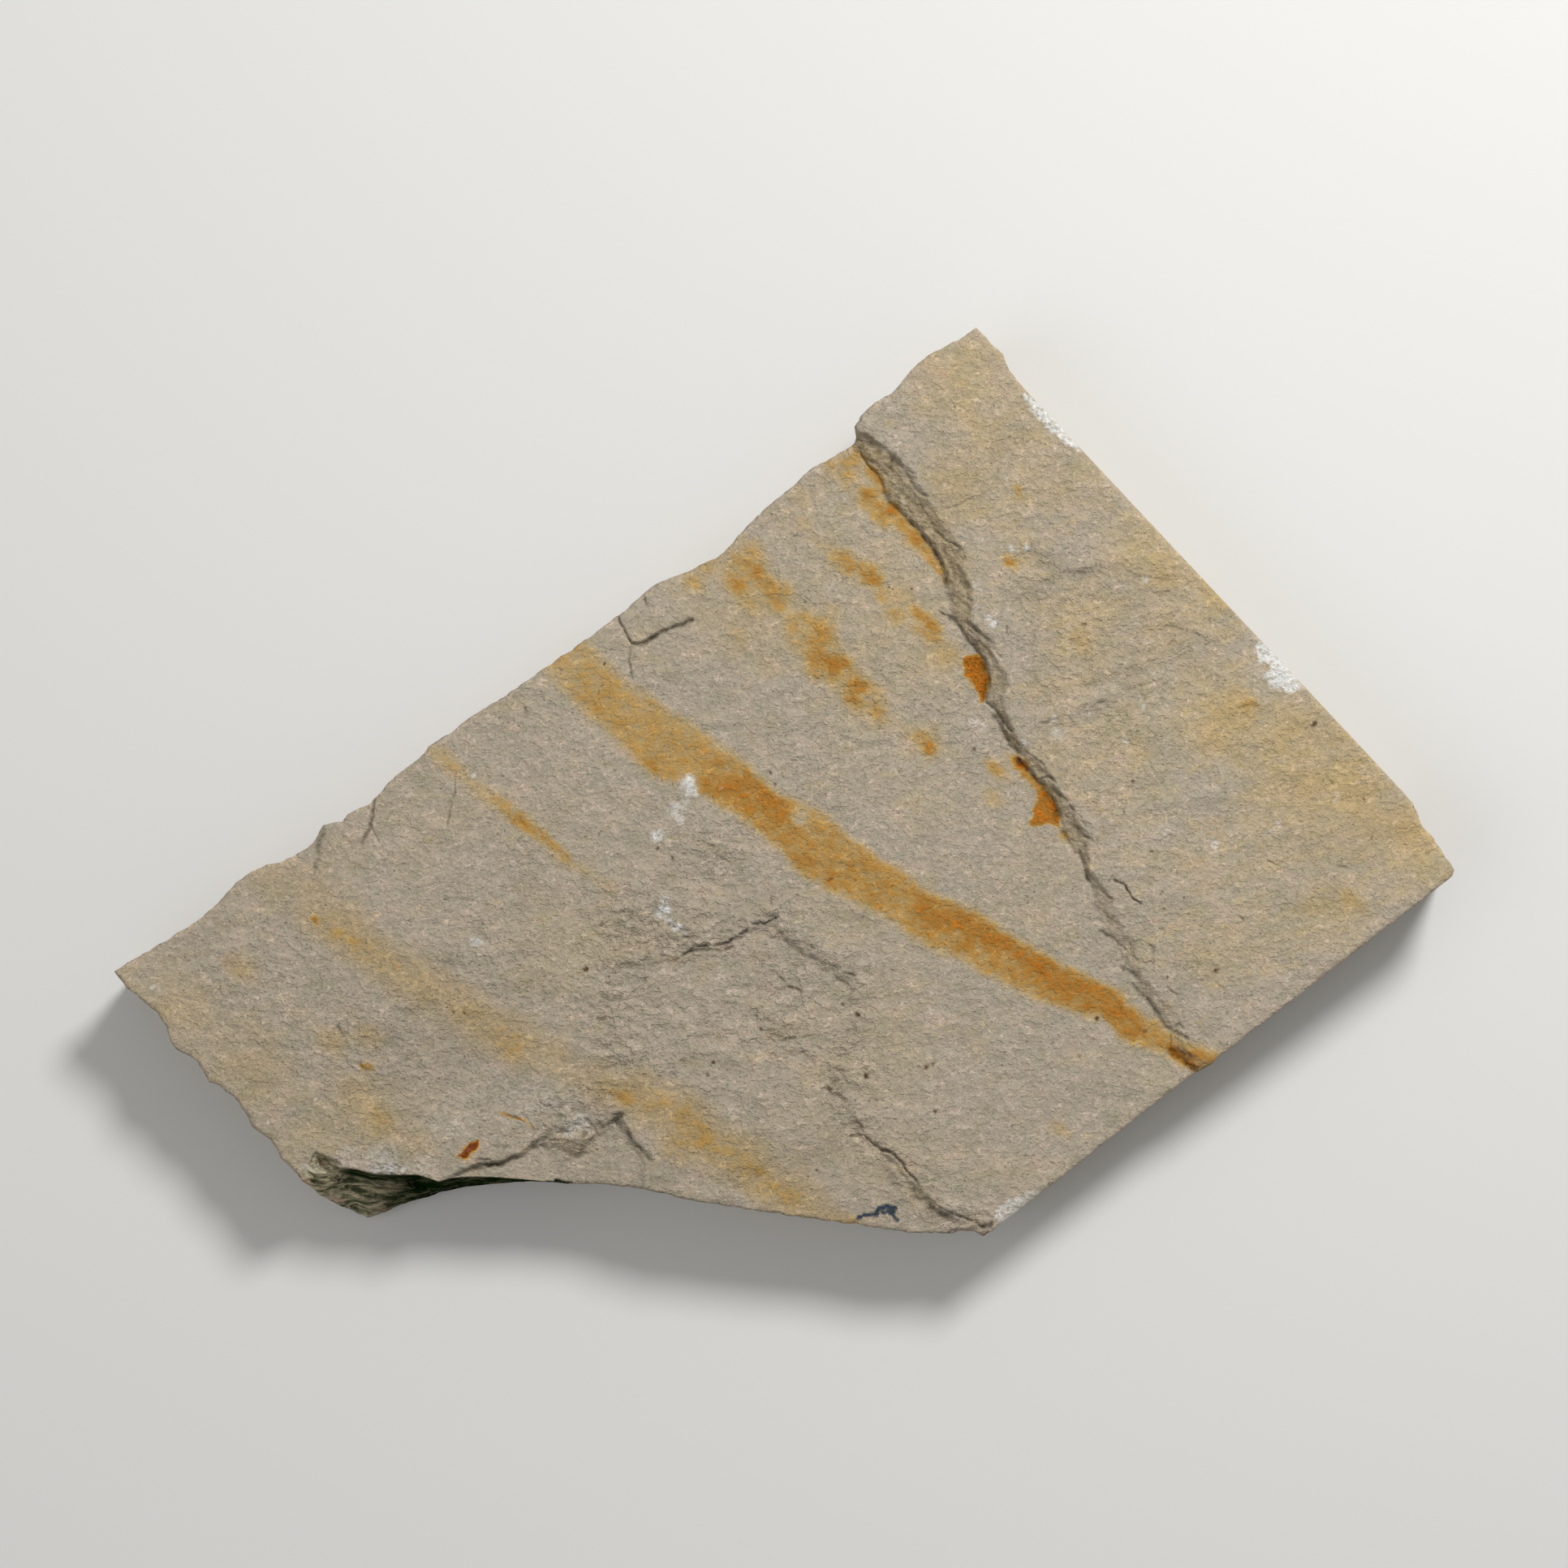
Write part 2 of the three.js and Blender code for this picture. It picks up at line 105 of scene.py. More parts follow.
# Its height, its length and width in mm, its seed, how far it is turned up from X in degrees, and its octaves
NOISE = {
    "ledge lump": (0.15, 1.9, 1.1, 21, -35, 2),
    "ledge crumb": (0.06, 0.9, 0.5, 25, -75, 2),
    "scale": (1, 3.0, 1.5, 61, 10, 3),
    "crumb": (0.1, 1.1, 0.6, 65, 12, 2),
    "swell": (0.3, 17, 17, 71, 0, 1),
    "level ripple": (1, 5.5, 2.4, 73, -3, 2),
    "climbing ripple": (1.2, 6, 2.8, 75, 20, 3),
    "level streak": (1, 1.7, 0.75, 77, -4, 2),
    "climbing streak": (1, 1.8, 0.75, 79, 17, 2),
    "crack width": (0.35, 0.9, 0.9, 95, 0, 1),
    "crack gap": (0.6, 1.4, 1.4, 97, 0, 2),
    "corner bed": (0.14, 4.5, 1.2, 101, -10, 3),
    "bite": (0.22, 2.0, 2.0, 111, 0, 1),
    "small bite": (0.16, 0.9, 0.9, 113, 0, 1),
    "nick": (0.03, 0.9, 0.9, 115, 0, 1),
    "base swell": (0.16, 9, 5, 141, 10, 3),
    "base crumb": (0.05, 1.6, 0.9, 143, 10, 2),
    "rim wear": (0.2, 3, 3, 151, 0, 1),
    "worn place": (1, 7, 7, 153, 0, 1),
    "iron patch": (0.26, 1.4, 1.1, 167, -20, 2),
    "band mottle": (0.22, 1.9, 1.2, 168, -30, 2),
    "corner edge": (1.3, 2.4, 1.2, 195, 0, 2),
}
# How a drawn line is made uneven, in turns: how far it moves and the size of its waves in mm, and the seed
UNEVEN = {
    "ledge": [(0.35, 1.8, 11), (0.16, 0.6, 13)],
    "flake": [(0.15, 1.1, 31)],
    "chip": [(0.12, 1.0, 41)],
    "lifted flake": [(0.12, 0.8, 45)],
    "ridge": [(0.5, 3, 81)],
    "climbing ripple": [(1.4, 5, 83)],
    "stroke": [(0.09, 0.55, 91)],
    "corner bed": [(0.6, 3, 103)],
    "stain": [(0.3, 2.6, 161), (0.24, 0.8, 163)],
    "crisp stain": [(0.26, 1.2, 165), (0.2, 0.45, 166)],
    "rust shadow": [(0.2, 0.7, 169)],
    "white": [(0.3, 0.9, 171), (0.12, 0.35, 172)],
    "white chip": [(0.25, 0.8, 173)],
    "fleck": [(0.2, 0.3, 181)],
    "chip_scar_shadow": [(0.12, 0.5, 183)],
}
# Waves of the broken walls: their pace along the rim, their pace and start down it, their slant and seed
WALL_WAVES = {
    "ledge": (0.11, 2.3, 0.5, 0, 131),
    "facet": (0.13, 0.12, 0, 0.09, 139),
    "bed": (0.16, 0.73, 0, 0, 133),
    "lamina": (0.5, 1.9, 0, 0, 135),
    "pit": (0.9, 0.6, 0, 0.3, 137),
}
SWAY_SEED, SEEP_SEED = 191, 197

# ---------------------------------------------------------------- outline, clockwise from the left tip

UPPER_EDGE = [
    (140, 1197), (161, 1183), (200, 1160), (240, 1135), (268, 1112), (279, 1097), (300, 1078), (327, 1065),
    (345, 1062), (370, 1049), (385, 1038), (397, 1015.5), (420, 1011), (428, 1003), (456, 988), (472, 971),
    (480, 960), (512, 937), (528, 919), (560, 898), (581, 881), (620, 858), (679, 816), (739, 774),
    (781, 741), (804, 720), (820, 714), (852, 700), (881, 687), (891, 679), (905, 664), (925, 641),
    (935, 632), (975, 599), (997, 578), (1019, 566), (1048, 549), (1053, 538), (1052, 526), (1061, 510),
    (1077, 497), (1102, 481), (1129, 449), (1150, 434), (1188, 415), (1202, 403.5),
]
UPPER_CORNER = [(1236, 438), (1244, 457), (1262, 481)]
SAWN_RIGHT = [(1740, 989)]
RIGHT_CORNER = [(1753, 1017), (1774, 1044), (1792, 1072), (1789, 1079)]
SAWN_LOWER = [(1506, 1299)]
LEDGE_NOTCH = [(1493, 1312), (1472, 1323), (1460, 1331)]
SAWN_LOWER_END = [(1238, 1505)]
LOWER_CORNER = [(1221, 1519), (1212, 1524), (1198, 1518), (1185, 1518)]
LOWER_EDGE = [
    (1168, 1522), (1121, 1520), (1058, 1511), (999, 1503), (899, 1488), (846, 1479), (798, 1467), (739, 1460),
    (657, 1460), (566, 1469), (540, 1476), (484, 1493), (451, 1509),
]
LEFT_EDGE = [
    (431, 1502), (388, 1476), (369, 1452), (345, 1427), (341, 1416), (309, 1388), (294, 1360), (270, 1338.5),
    (257, 1334), (243, 1310), (216, 1293), (208, 1282), (204, 1267), (192, 1248), (182, 1240), (168, 1229),
    (155, 1218),
]
SIDES = [
    (UPPER_EDGE, True), (UPPER_CORNER, True), (SAWN_RIGHT, False), (RIGHT_CORNER, True),
    (SAWN_LOWER, False), (LEDGE_NOTCH, True), (SAWN_LOWER_END, False), (LOWER_CORNER, True),
    (LOWER_EDGE, True), (LEFT_EDGE + UPPER_EDGE[:1], True),
]

# ---------------------------------------------------------------- ledges

TERRACE_BRINK = [
    (1057, 527), (1076, 541), (1102, 560), (1122, 583), (1143, 615), (1165, 650), (1186, 680), (1192, 705),
    (1203, 745), (1198, 766), (1212, 781), (1228, 803), (1238, 822), (1244, 845), (1238, 868), (1245, 893),
    (1263, 919), (1286, 946), (1309, 974), (1325, 1002), (1343, 1033), (1341, 1059), (1345, 1078),
    (1370, 1107), (1372, 1128), (1400, 1160), (1407, 1205), (1430, 1224), (1449, 1251), (1456, 1266),
    (1451, 1279), (1481, 1306), (1499, 1306),
]
TERRACE_FOOT = [
    (1050, 547), (1062, 563), (1085, 590), (1090, 610), (1112, 634), (1133, 655), (1155, 688), (1165, 722),
    (1172, 752), (1188, 785), (1206, 806), (1217, 830), (1214, 864), (1226, 876), (1243, 914), (1258, 937),
    (1278, 964), (1296, 984), (1305, 1010), (1319, 1038), (1336, 1071), (1349, 1103), (1355, 1140),
    (1378, 1170), (1399, 1205), (1414, 1232), (1437, 1262), (1446, 1280), (1453, 1299), (1470, 1322),
]
# How plainly the broken stone of the ledge shows at some rows of the grid
LEDGE_SHARES = [
    (520, 0.9), (690, 0.9), (790, 0.85), (865, 0.55), (915, 0.9), (1010, 0.8), (1075, 0.4), (1215, 0.3),
    (1315, 0.6),
]
# Places outside the slab that close an area drawn up to its edge
BEYOND_RIGHT = [(1900, 1400), (1900, 300), (1040, 300)]
BELOW_FLAKE, BELOW_CHIP = [(1230, 1560)], [(790, 1560), (540, 1560)]
# The edge of the flake scar, from its left end
FLAKE_EDGE = [
    (837, 1178), (857, 1168), (895, 1161), (925, 1142), (956, 1132), (968, 1147), (994, 1172), (1050, 1201),
    (1060, 1250), (1038, 1300), (1020, 1335), (1048, 1360), (1063, 1394), (1098, 1421), (1131, 1459),
    (1165, 1494), (1218, 1511),
]
# How much of the depth of the flake shows at each point of its edge
FLAKE_EDGE_SHARES = (0.9, 1, 1, 1, 1, 0.7, 0.6, 0.4, 0.1, 0.1, 0.2, 0.3, 0.8, 1, 0.9, 0.9, 0.8)
# The line at which the scar has faded out
FLAKE_FADE = [(770, 1200), (765, 1240), (755, 1300), (745, 1350), (790, 1480)]
CHIP_EDGE = [
    (540, 1456), (562, 1445), (600, 1433), (640, 1422), (668, 1402), (690, 1400), (715, 1406), (740, 1390),
    (760, 1377), (770, 1392), (790, 1420), (797, 1432), (795, 1460),
]
# How much of the depth of the chip shows at some columns of the grid
CHIP_SHARES = [(540, 0.9), (700, 0.9), (750, 0.8), (785, 0.5), (800, 0.05)]
CRUSHED_PLACE = (705, 1405)
BROKEN_RIM = [
    (371, 1445), (378, 1438), (384, 1425), (391, 1420), (402, 1424), (413, 1430), (420, 1437), (440, 1440),
    (462, 1446), (490, 1447), (515, 1447), (530, 1452), (541, 1456), (553, 1452), (575, 1450), (615, 1451),
    (650, 1454), (680, 1457), (700, 1459),
]
BROKEN_OUTLINE = [
    (700, 1459.9), (657, 1460), (566, 1469), (540, 1476), (484, 1493), (451, 1509), (431, 1502), (388, 1476),
    (369, 1452),
]
LIFTED_FLAKE = [
    (761, 759), (779, 793), (800, 788), (830, 773), (853, 763), (855, 735), (850, 718), (840, 704),
    (781, 741),
]

# Low ridges on the right-hand layer, which climb to the right: points, height and half width
RIDGES = [
    ([(1225, 735), (1270, 712), (1330, 698), (1400, 690), (1460, 700)], 0.22, 0.9),
    ([(1260, 735), (1330, 730), (1420, 722)], 0.14, 0.7),
    ([(1320, 848), (1370, 825), (1420, 800), (1470, 780), (1510, 778)], 0.24, 0.9),
    ([(1268, 893), (1310, 880), (1350, 862), (1385, 850)], 0.24, 0.7),
    ([(1330, 975), (1390, 955), (1440, 948)], 0.16, 0.8),
    ([(1420, 1010), (1480, 985), (1530, 980)], 0.16, 0.9),
    ([(1480, 885), (1540, 865), (1580, 860)], 0.14, 0.8),
]

# ---------------------------------------------------------------- cracks and marks

# Cracks and the edges of flakes, scars and chips: half width in mm, depth in mm, how dark it shows, and
# its points. The dark is partly the cracks' own and partly painted shade where a small step turns away from
# the light; the wide, faint strokes are painted shade alone.
CRACKS_AND_EDGE_SHADE = [
    # the lifted flake and the short cracks along the upper edge
    (0.10, 0.15, 0.55, [(761, 759), (766, 770), (774, 785), (779, 793)]),
    (0.15, 0.25, 0.90, [(779, 793), (790, 795), (800, 788), (815, 779), (830, 773), (845, 767), (853, 763)]),
    (0.09, 0.10, 0.40, [(777, 800), (775, 815), (778, 832), (780, 838)]),
    (0.10, 0.10, 0.40, [(793, 735), (797, 745)]),
    (0.11, 0.20, 0.60, [(461, 985), (459, 1000), (457, 1018), (450, 1030), (445, 1042)]),
    (0.08, 0.10, 0.30, [(457, 1018), (463, 1030), (468, 1042)]),
    (0.28, 0.10, 0.45, [(399, 1018), (395, 1035), (390, 1045)]),
    (0.16, 0.10, 0.50, [(395, 1030), (391, 1045), (392, 1057), (387, 1072)]),
    (0.12, 0.10, 0.60, [(416, 1264), (419, 1271), (423, 1276)]),
    (0.12, 0.10, 0.50, [(443, 1312), (450, 1318), (459, 1319)]),
    (0.09, 0.10, 0.40, [(561, 955), (560, 975), (557, 990), (554, 1000), (551, 1018)]),
    (0.12, 0.10, 0.50, [(646, 868), (648, 882)]),
    # the upper edge of the flake scar, left of its point
    (0.10, 0.05, 0.35, [(821, 1196), (827, 1187), (838, 1179)]),
    (0.14, 0.15, 0.85, [(838, 1179), (846, 1174), (854, 1171), (863, 1170), (874, 1171)]),
    (0.12, 0.15, 0.80, [(848, 1171), (857, 1167), (867, 1167), (874, 1165)]),
    (0.14, 0.15, 0.90, [(880, 1165), (890, 1163), (897, 1161), (904, 1156), (912, 1151), (921, 1146)]),
    (0.10, 0.10, 0.75, [(880, 1171), (890, 1173), (897, 1169), (902, 1167)]),
    (0.14, 0.15, 0.85, [(926, 1139), (935, 1137), (942, 1139), (949, 1134), (958, 1131)]),
    (0.10, 0.05, 0.40, [(940, 1129), (949, 1130), (959, 1126)]),
    (0.11, 0.05, 0.50, [(950, 1103), (951, 1114)]),
    (0.12, 0.10, 0.70, [(820, 1138), (830, 1142), (839, 1145), (847, 1147)]),
    (0.10, 0.05, 0.50, [(840, 1155), (851, 1156)]),
    (0.10, 0.05, 0.40, [(827, 1158), (837, 1160)]),
    # and right of it
    (0.16, 0.08, 0.50, [(957, 1151), (966, 1147), (981, 1149)]),
    (0.12, 0.05, 0.30, [(949, 1156), (963, 1155)]),
    (0.14, 0.05, 0.40, [(969, 1166), (980, 1168), (991, 1173)]),
    (0.10, 0.05, 0.55, [(992, 1163), (998, 1165), (1004, 1169)]),
    (0.13, 0.05, 0.35, [(994, 1174), (1003, 1180), (1011, 1186)]),
    (0.13, 0.05, 0.40, [(1010, 1187), (1022, 1188), (1035, 1192)]),
    (0.10, 0.08, 0.75, [(1040, 1198), (1046, 1200), (1053, 1202)]),
    (0.14, 0.05, 0.45, [(1027, 1203), (1035, 1208), (1043, 1213)]),
    (0.10, 0.05, 0.50, [(950, 1196), (957, 1200), (963, 1206), (966, 1211)]),
    (0.12, 0.10, 0.90, [(967, 1215), (975, 1217), (981, 1218), (987, 1222)]),
    # short marks on the floor of the scar
    (0.13, 0.05, 0.50, [(893, 1237), (900, 1236), (906, 1235)]),
    (0.12, 0.12, 1.00, [(963, 1282), (972, 1280), (981, 1279)]),
    (0.08, 0.05, 0.35, [(982, 1279), (995, 1276)]),
    (0.18, 0.05, 0.35, [(984, 1296), (992, 1298), (997, 1304), (1005, 1311)]),
    (0.10, 0.05, 0.50, [(1007, 1291), (1015, 1294)]),
    (0.10, 0.05, 0.45, [(789, 1206), (801, 1205)]),
    (0.12, 0.05, 0.50, [(747, 1211), (755, 1215), (765, 1213)]),
    (0.16, 0.05, 0.30, [(744, 1275), (758, 1278), (769, 1281)]),
    (0.13, 0.05, 0.40, [(862, 1041), (870, 1043), (883, 1043)]),
    (0.11, 0.05, 0.35, [(880, 1052), (890, 1057), (900, 1063)]),
    (0.13, 0.05, 0.40, [(865, 1067), (873, 1064)]),
    (0.13, 0.05, 0.60, [(1023, 1335), (1033, 1332)]),
    (0.13, 0.05, 0.50, [(1038, 1328), (1044, 1334), (1053, 1336)]),
    (0.15, 0.05, 0.35, [(1023, 1350), (1033, 1351), (1041, 1357)]),
    # the curved crack that leaves by the lower edge
    (0.12, 0.10, 0.70, [(1050, 1374), (1056, 1381), (1060, 1387), (1063, 1393)]),
    (0.08, 0.15, 0.60, [(1046, 1401), (1056, 1399), (1064, 1399), (1070, 1403), (1078, 1412)]),
    (0.14, 0.25, 1.00, [(1077, 1411), (1085, 1416), (1092, 1418), (1098, 1420), (1104, 1426)]),
    (0.11, 0.20, 0.90, [(1103, 1425), (1111, 1432), (1115, 1440), (1121, 1447), (1127, 1453), (1132, 1460)]),
    (0.40, 0.05, 0.30, [(1088, 1438), (1097, 1448), (1108, 1460)]),
    (0.12, 0.05, 0.40, [(1108, 1447), (1115, 1450), (1121, 1449)]),
    (0.20, 0.10, 0.60, [(1122, 1466), (1128, 1469), (1135, 1470)]),
    (0.32, 0.10, 0.45, [(1127, 1472), (1139, 1478), (1149, 1483)]),
    (0.40, 0.15, 0.60, [(1142, 1484), (1150, 1490), (1160, 1495), (1170, 1498)]),
    (0.12, 0.20, 0.60, [(1151, 1484), (1164, 1491), (1175, 1496), (1186, 1500)]),
    (0.10, 0.15, 0.50, [(381, 1436), (384, 1427), (389, 1420), (396, 1424), (404, 1428), (413, 1431),
        (421, 1437)]),
    (0.09, 0.15, 0.35, [(388, 1424), (395, 1430), (404, 1434), (412, 1441)]),
    (0.09, 0.15, 0.40, [(403, 1441), (411, 1438), (418, 1440), (424, 1445)]),
    (0.09, 0.15, 0.35, [(378, 1444), (384, 1447), (390, 1452), (399, 1453)]),
    (0.09, 0.15, 0.40, [(386, 1459), (398, 1460), (412, 1456), (426, 1455)]),
    (0.09, 0.05, 0.45, [(452, 1437), (462, 1438), (471, 1435), (480, 1437)]),
    (0.09, 0.05, 0.50, [(463, 1443), (474, 1440), (486, 1442), (494, 1440)]),
    (0.12, 0.10, 0.60, [(455, 1438), (463, 1441), (474, 1440)]),
    (0.12, 0.10, 0.60, [(466, 1446), (478, 1445), (489, 1448)]),
    (0.12, 0.10, 0.50, [(484, 1437), (496, 1439)]),
    (0.12, 0.20, 0.90, [(1189, 1501), (1197, 1504), (1206, 1506)]),
    (0.17, 0.20, 1.00, [(1204, 1508), (1211, 1511), (1220, 1511), (1222, 1507)]),
    (0.13, 0.10, 0.60, [(1167, 1520), (1179, 1516), (1196, 1516)]),
    # round the chip in the lower edge
    (0.18, 0.20, 0.75, [(560, 1448), (570, 1443), (579, 1440), (590, 1437)]),
    (0.19, 0.25, 1.15, [(588, 1436), (600, 1435), (610, 1435), (619, 1435)]),
    (0.19, 0.25, 0.80, [(612, 1436), (620, 1433), (625, 1430), (632, 1426), (641, 1424)]),
    (0.22, 0.15, 0.65, [(640, 1424), (648, 1417), (656, 1413), (662, 1407), (668, 1403), (675, 1400)]),
    (0.10, 0.10, 0.70, [(586, 1429), (596, 1429), (605, 1429)]),
    (0.13, 0.05, 0.45, [(611, 1412), (620, 1413), (627, 1414)]),
    (0.22, 0.05, 0.30, [(655, 1400), (668, 1397), (681, 1394)]),
    (0.15, 0.05, 0.45, [(680, 1385), (684, 1389), (690, 1391), (693, 1396)]),
    (0.13, 0.05, 0.50, [(676, 1404), (686, 1405), (694, 1406), (701, 1409)]),
    (0.13, 0.05, 0.40, [(664, 1410), (672, 1415), (681, 1421)]),
    (0.11, 0.05, 0.45, [(691, 1426), (699, 1429), (705, 1428)]),
    (0.24, 0.10, 0.55, [(698, 1421), (706, 1424), (712, 1425), (717, 1419), (721, 1412), (731, 1404)]),
    (0.13, 0.10, 0.60, [(723, 1381), (728, 1386), (733, 1390), (736, 1399)]),
    (0.16, 0.10, 0.50, [(715, 1401), (722, 1396), (727, 1390), (733, 1386), (741, 1383)]),
    (0.17, 0.10, 0.55, [(738, 1391), (745, 1387), (750, 1384), (755, 1380), (760, 1378)]),
    (0.30, 0.20, 1.20, [(757, 1379), (762, 1377), (764, 1375)]),
    (0.20, 0.20, 0.70, [(764, 1382), (769, 1389), (772, 1394), (777, 1402), (781, 1410), (790, 1418),
        (797, 1425), (802, 1430)]),
    (0.32, 0.05, 0.20, [(777, 1408), (784, 1416), (792, 1421)]),
    (0.09, 0.05, 0.70, [(707, 1385), (715, 1386)]),
    (0.09, 0.05, 0.60, [(693, 1393), (699, 1394)]),
    (0.18, 0.05, 0.45, [(703, 1368), (712, 1367), (723, 1364)]),
    (0.09, 0.05, 0.45, [(664, 1353), (667, 1360), (673, 1363), (679, 1362)]),
    (0.09, 0.05, 0.60, [(621, 1371), (628, 1375), (636, 1378), (645, 1382)]),
    # on the right-hand layer
    (0.08, 0.15, 0.90, [(1371, 1085), (1378, 1087), (1386, 1092), (1390, 1099), (1395, 1107), (1400, 1110),
        (1406, 1114)]),
    (0.08, 0.05, 0.50, [(1366, 1087), (1370, 1079)]),
    (0.09, 0.05, 0.50, [(1429, 1102), (1436, 1094)]),
    (0.10, 0.05, 0.35, [(1163, 628), (1180, 623), (1200, 613)]),
    (0.10, 0.05, 0.45, [(1397, 1160), (1406, 1159), (1416, 1163), (1421, 1168), (1420, 1180), (1421, 1191)]),
    (0.09, 0.05, 0.40, [(1391, 1164), (1395, 1177), (1402, 1184), (1412, 1187), (1421, 1183)]),
    (0.09, 0.05, 0.50, [(1438, 1217), (1443, 1221), (1450, 1226)]),
    (0.08, 0.05, 0.60, [(1239, 772), (1240, 780), (1243, 784)]),
    (0.30, 0.05, 0.15, [(1266, 733), (1280, 730), (1300, 727)]),
    (0.14, 0.05, 0.22, [(1322, 712), (1332, 706), (1344, 699)]),
    (0.30, 0.05, 0.16, [(1326, 708), (1345, 703), (1362, 697)]),
    (0.24, 0.05, 0.14, [(1378, 700), (1390, 692), (1400, 688)]),
    (0.12, 0.05, 0.28, [(1402, 711), (1420, 713), (1440, 716)]),
    (0.18, 0.05, 0.25, [(1420, 732), (1430, 733), (1440, 729)]),
    (0.12, 0.05, 0.28, [(1436, 773), (1446, 773), (1462, 779), (1478, 783)]),
    (0.12, 0.05, 0.30, [(1344, 838), (1350, 832), (1358, 829)]),
    (0.14, 0.05, 0.20, [(1378, 812), (1392, 806), (1410, 801)]),
    (0.14, 0.05, 0.22, [(1412, 803), (1428, 798), (1446, 792)]),
    (0.14, 0.05, 0.28, [(1330, 872), (1345, 866), (1360, 865)]),
    (0.14, 0.05, 0.25, [(1385, 853), (1400, 846), (1418, 842)]),
    (0.12, 0.05, 0.35, [(1280, 892), (1290, 890), (1304, 884)]),
    (0.12, 0.05, 0.30, [(1240, 681), (1250, 684), (1262, 683)]),
    (0.14, 0.05, 0.45, [(1262, 681), (1268, 679), (1270, 672)]),
    (0.16, 0.05, 0.45, [(1522, 873), (1532, 870), (1546, 868)]),
    (0.10, 0.05, 0.40, [(1631, 954), (1636, 961), (1641, 966)]),
    (0.14, 0.05, 0.30, [(1643, 1066), (1652, 1068), (1660, 1070)]),
    (0.08, 0.05, 0.60, [(1524, 1128), (1530, 1131), (1532, 1135)]),
    (0.10, 0.05, 0.22, [(1552, 1119), (1570, 1116), (1590, 1113)]),
    (0.08, 0.05, 0.35, [(1560, 1060), (1568, 1064), (1576, 1067)]),
]
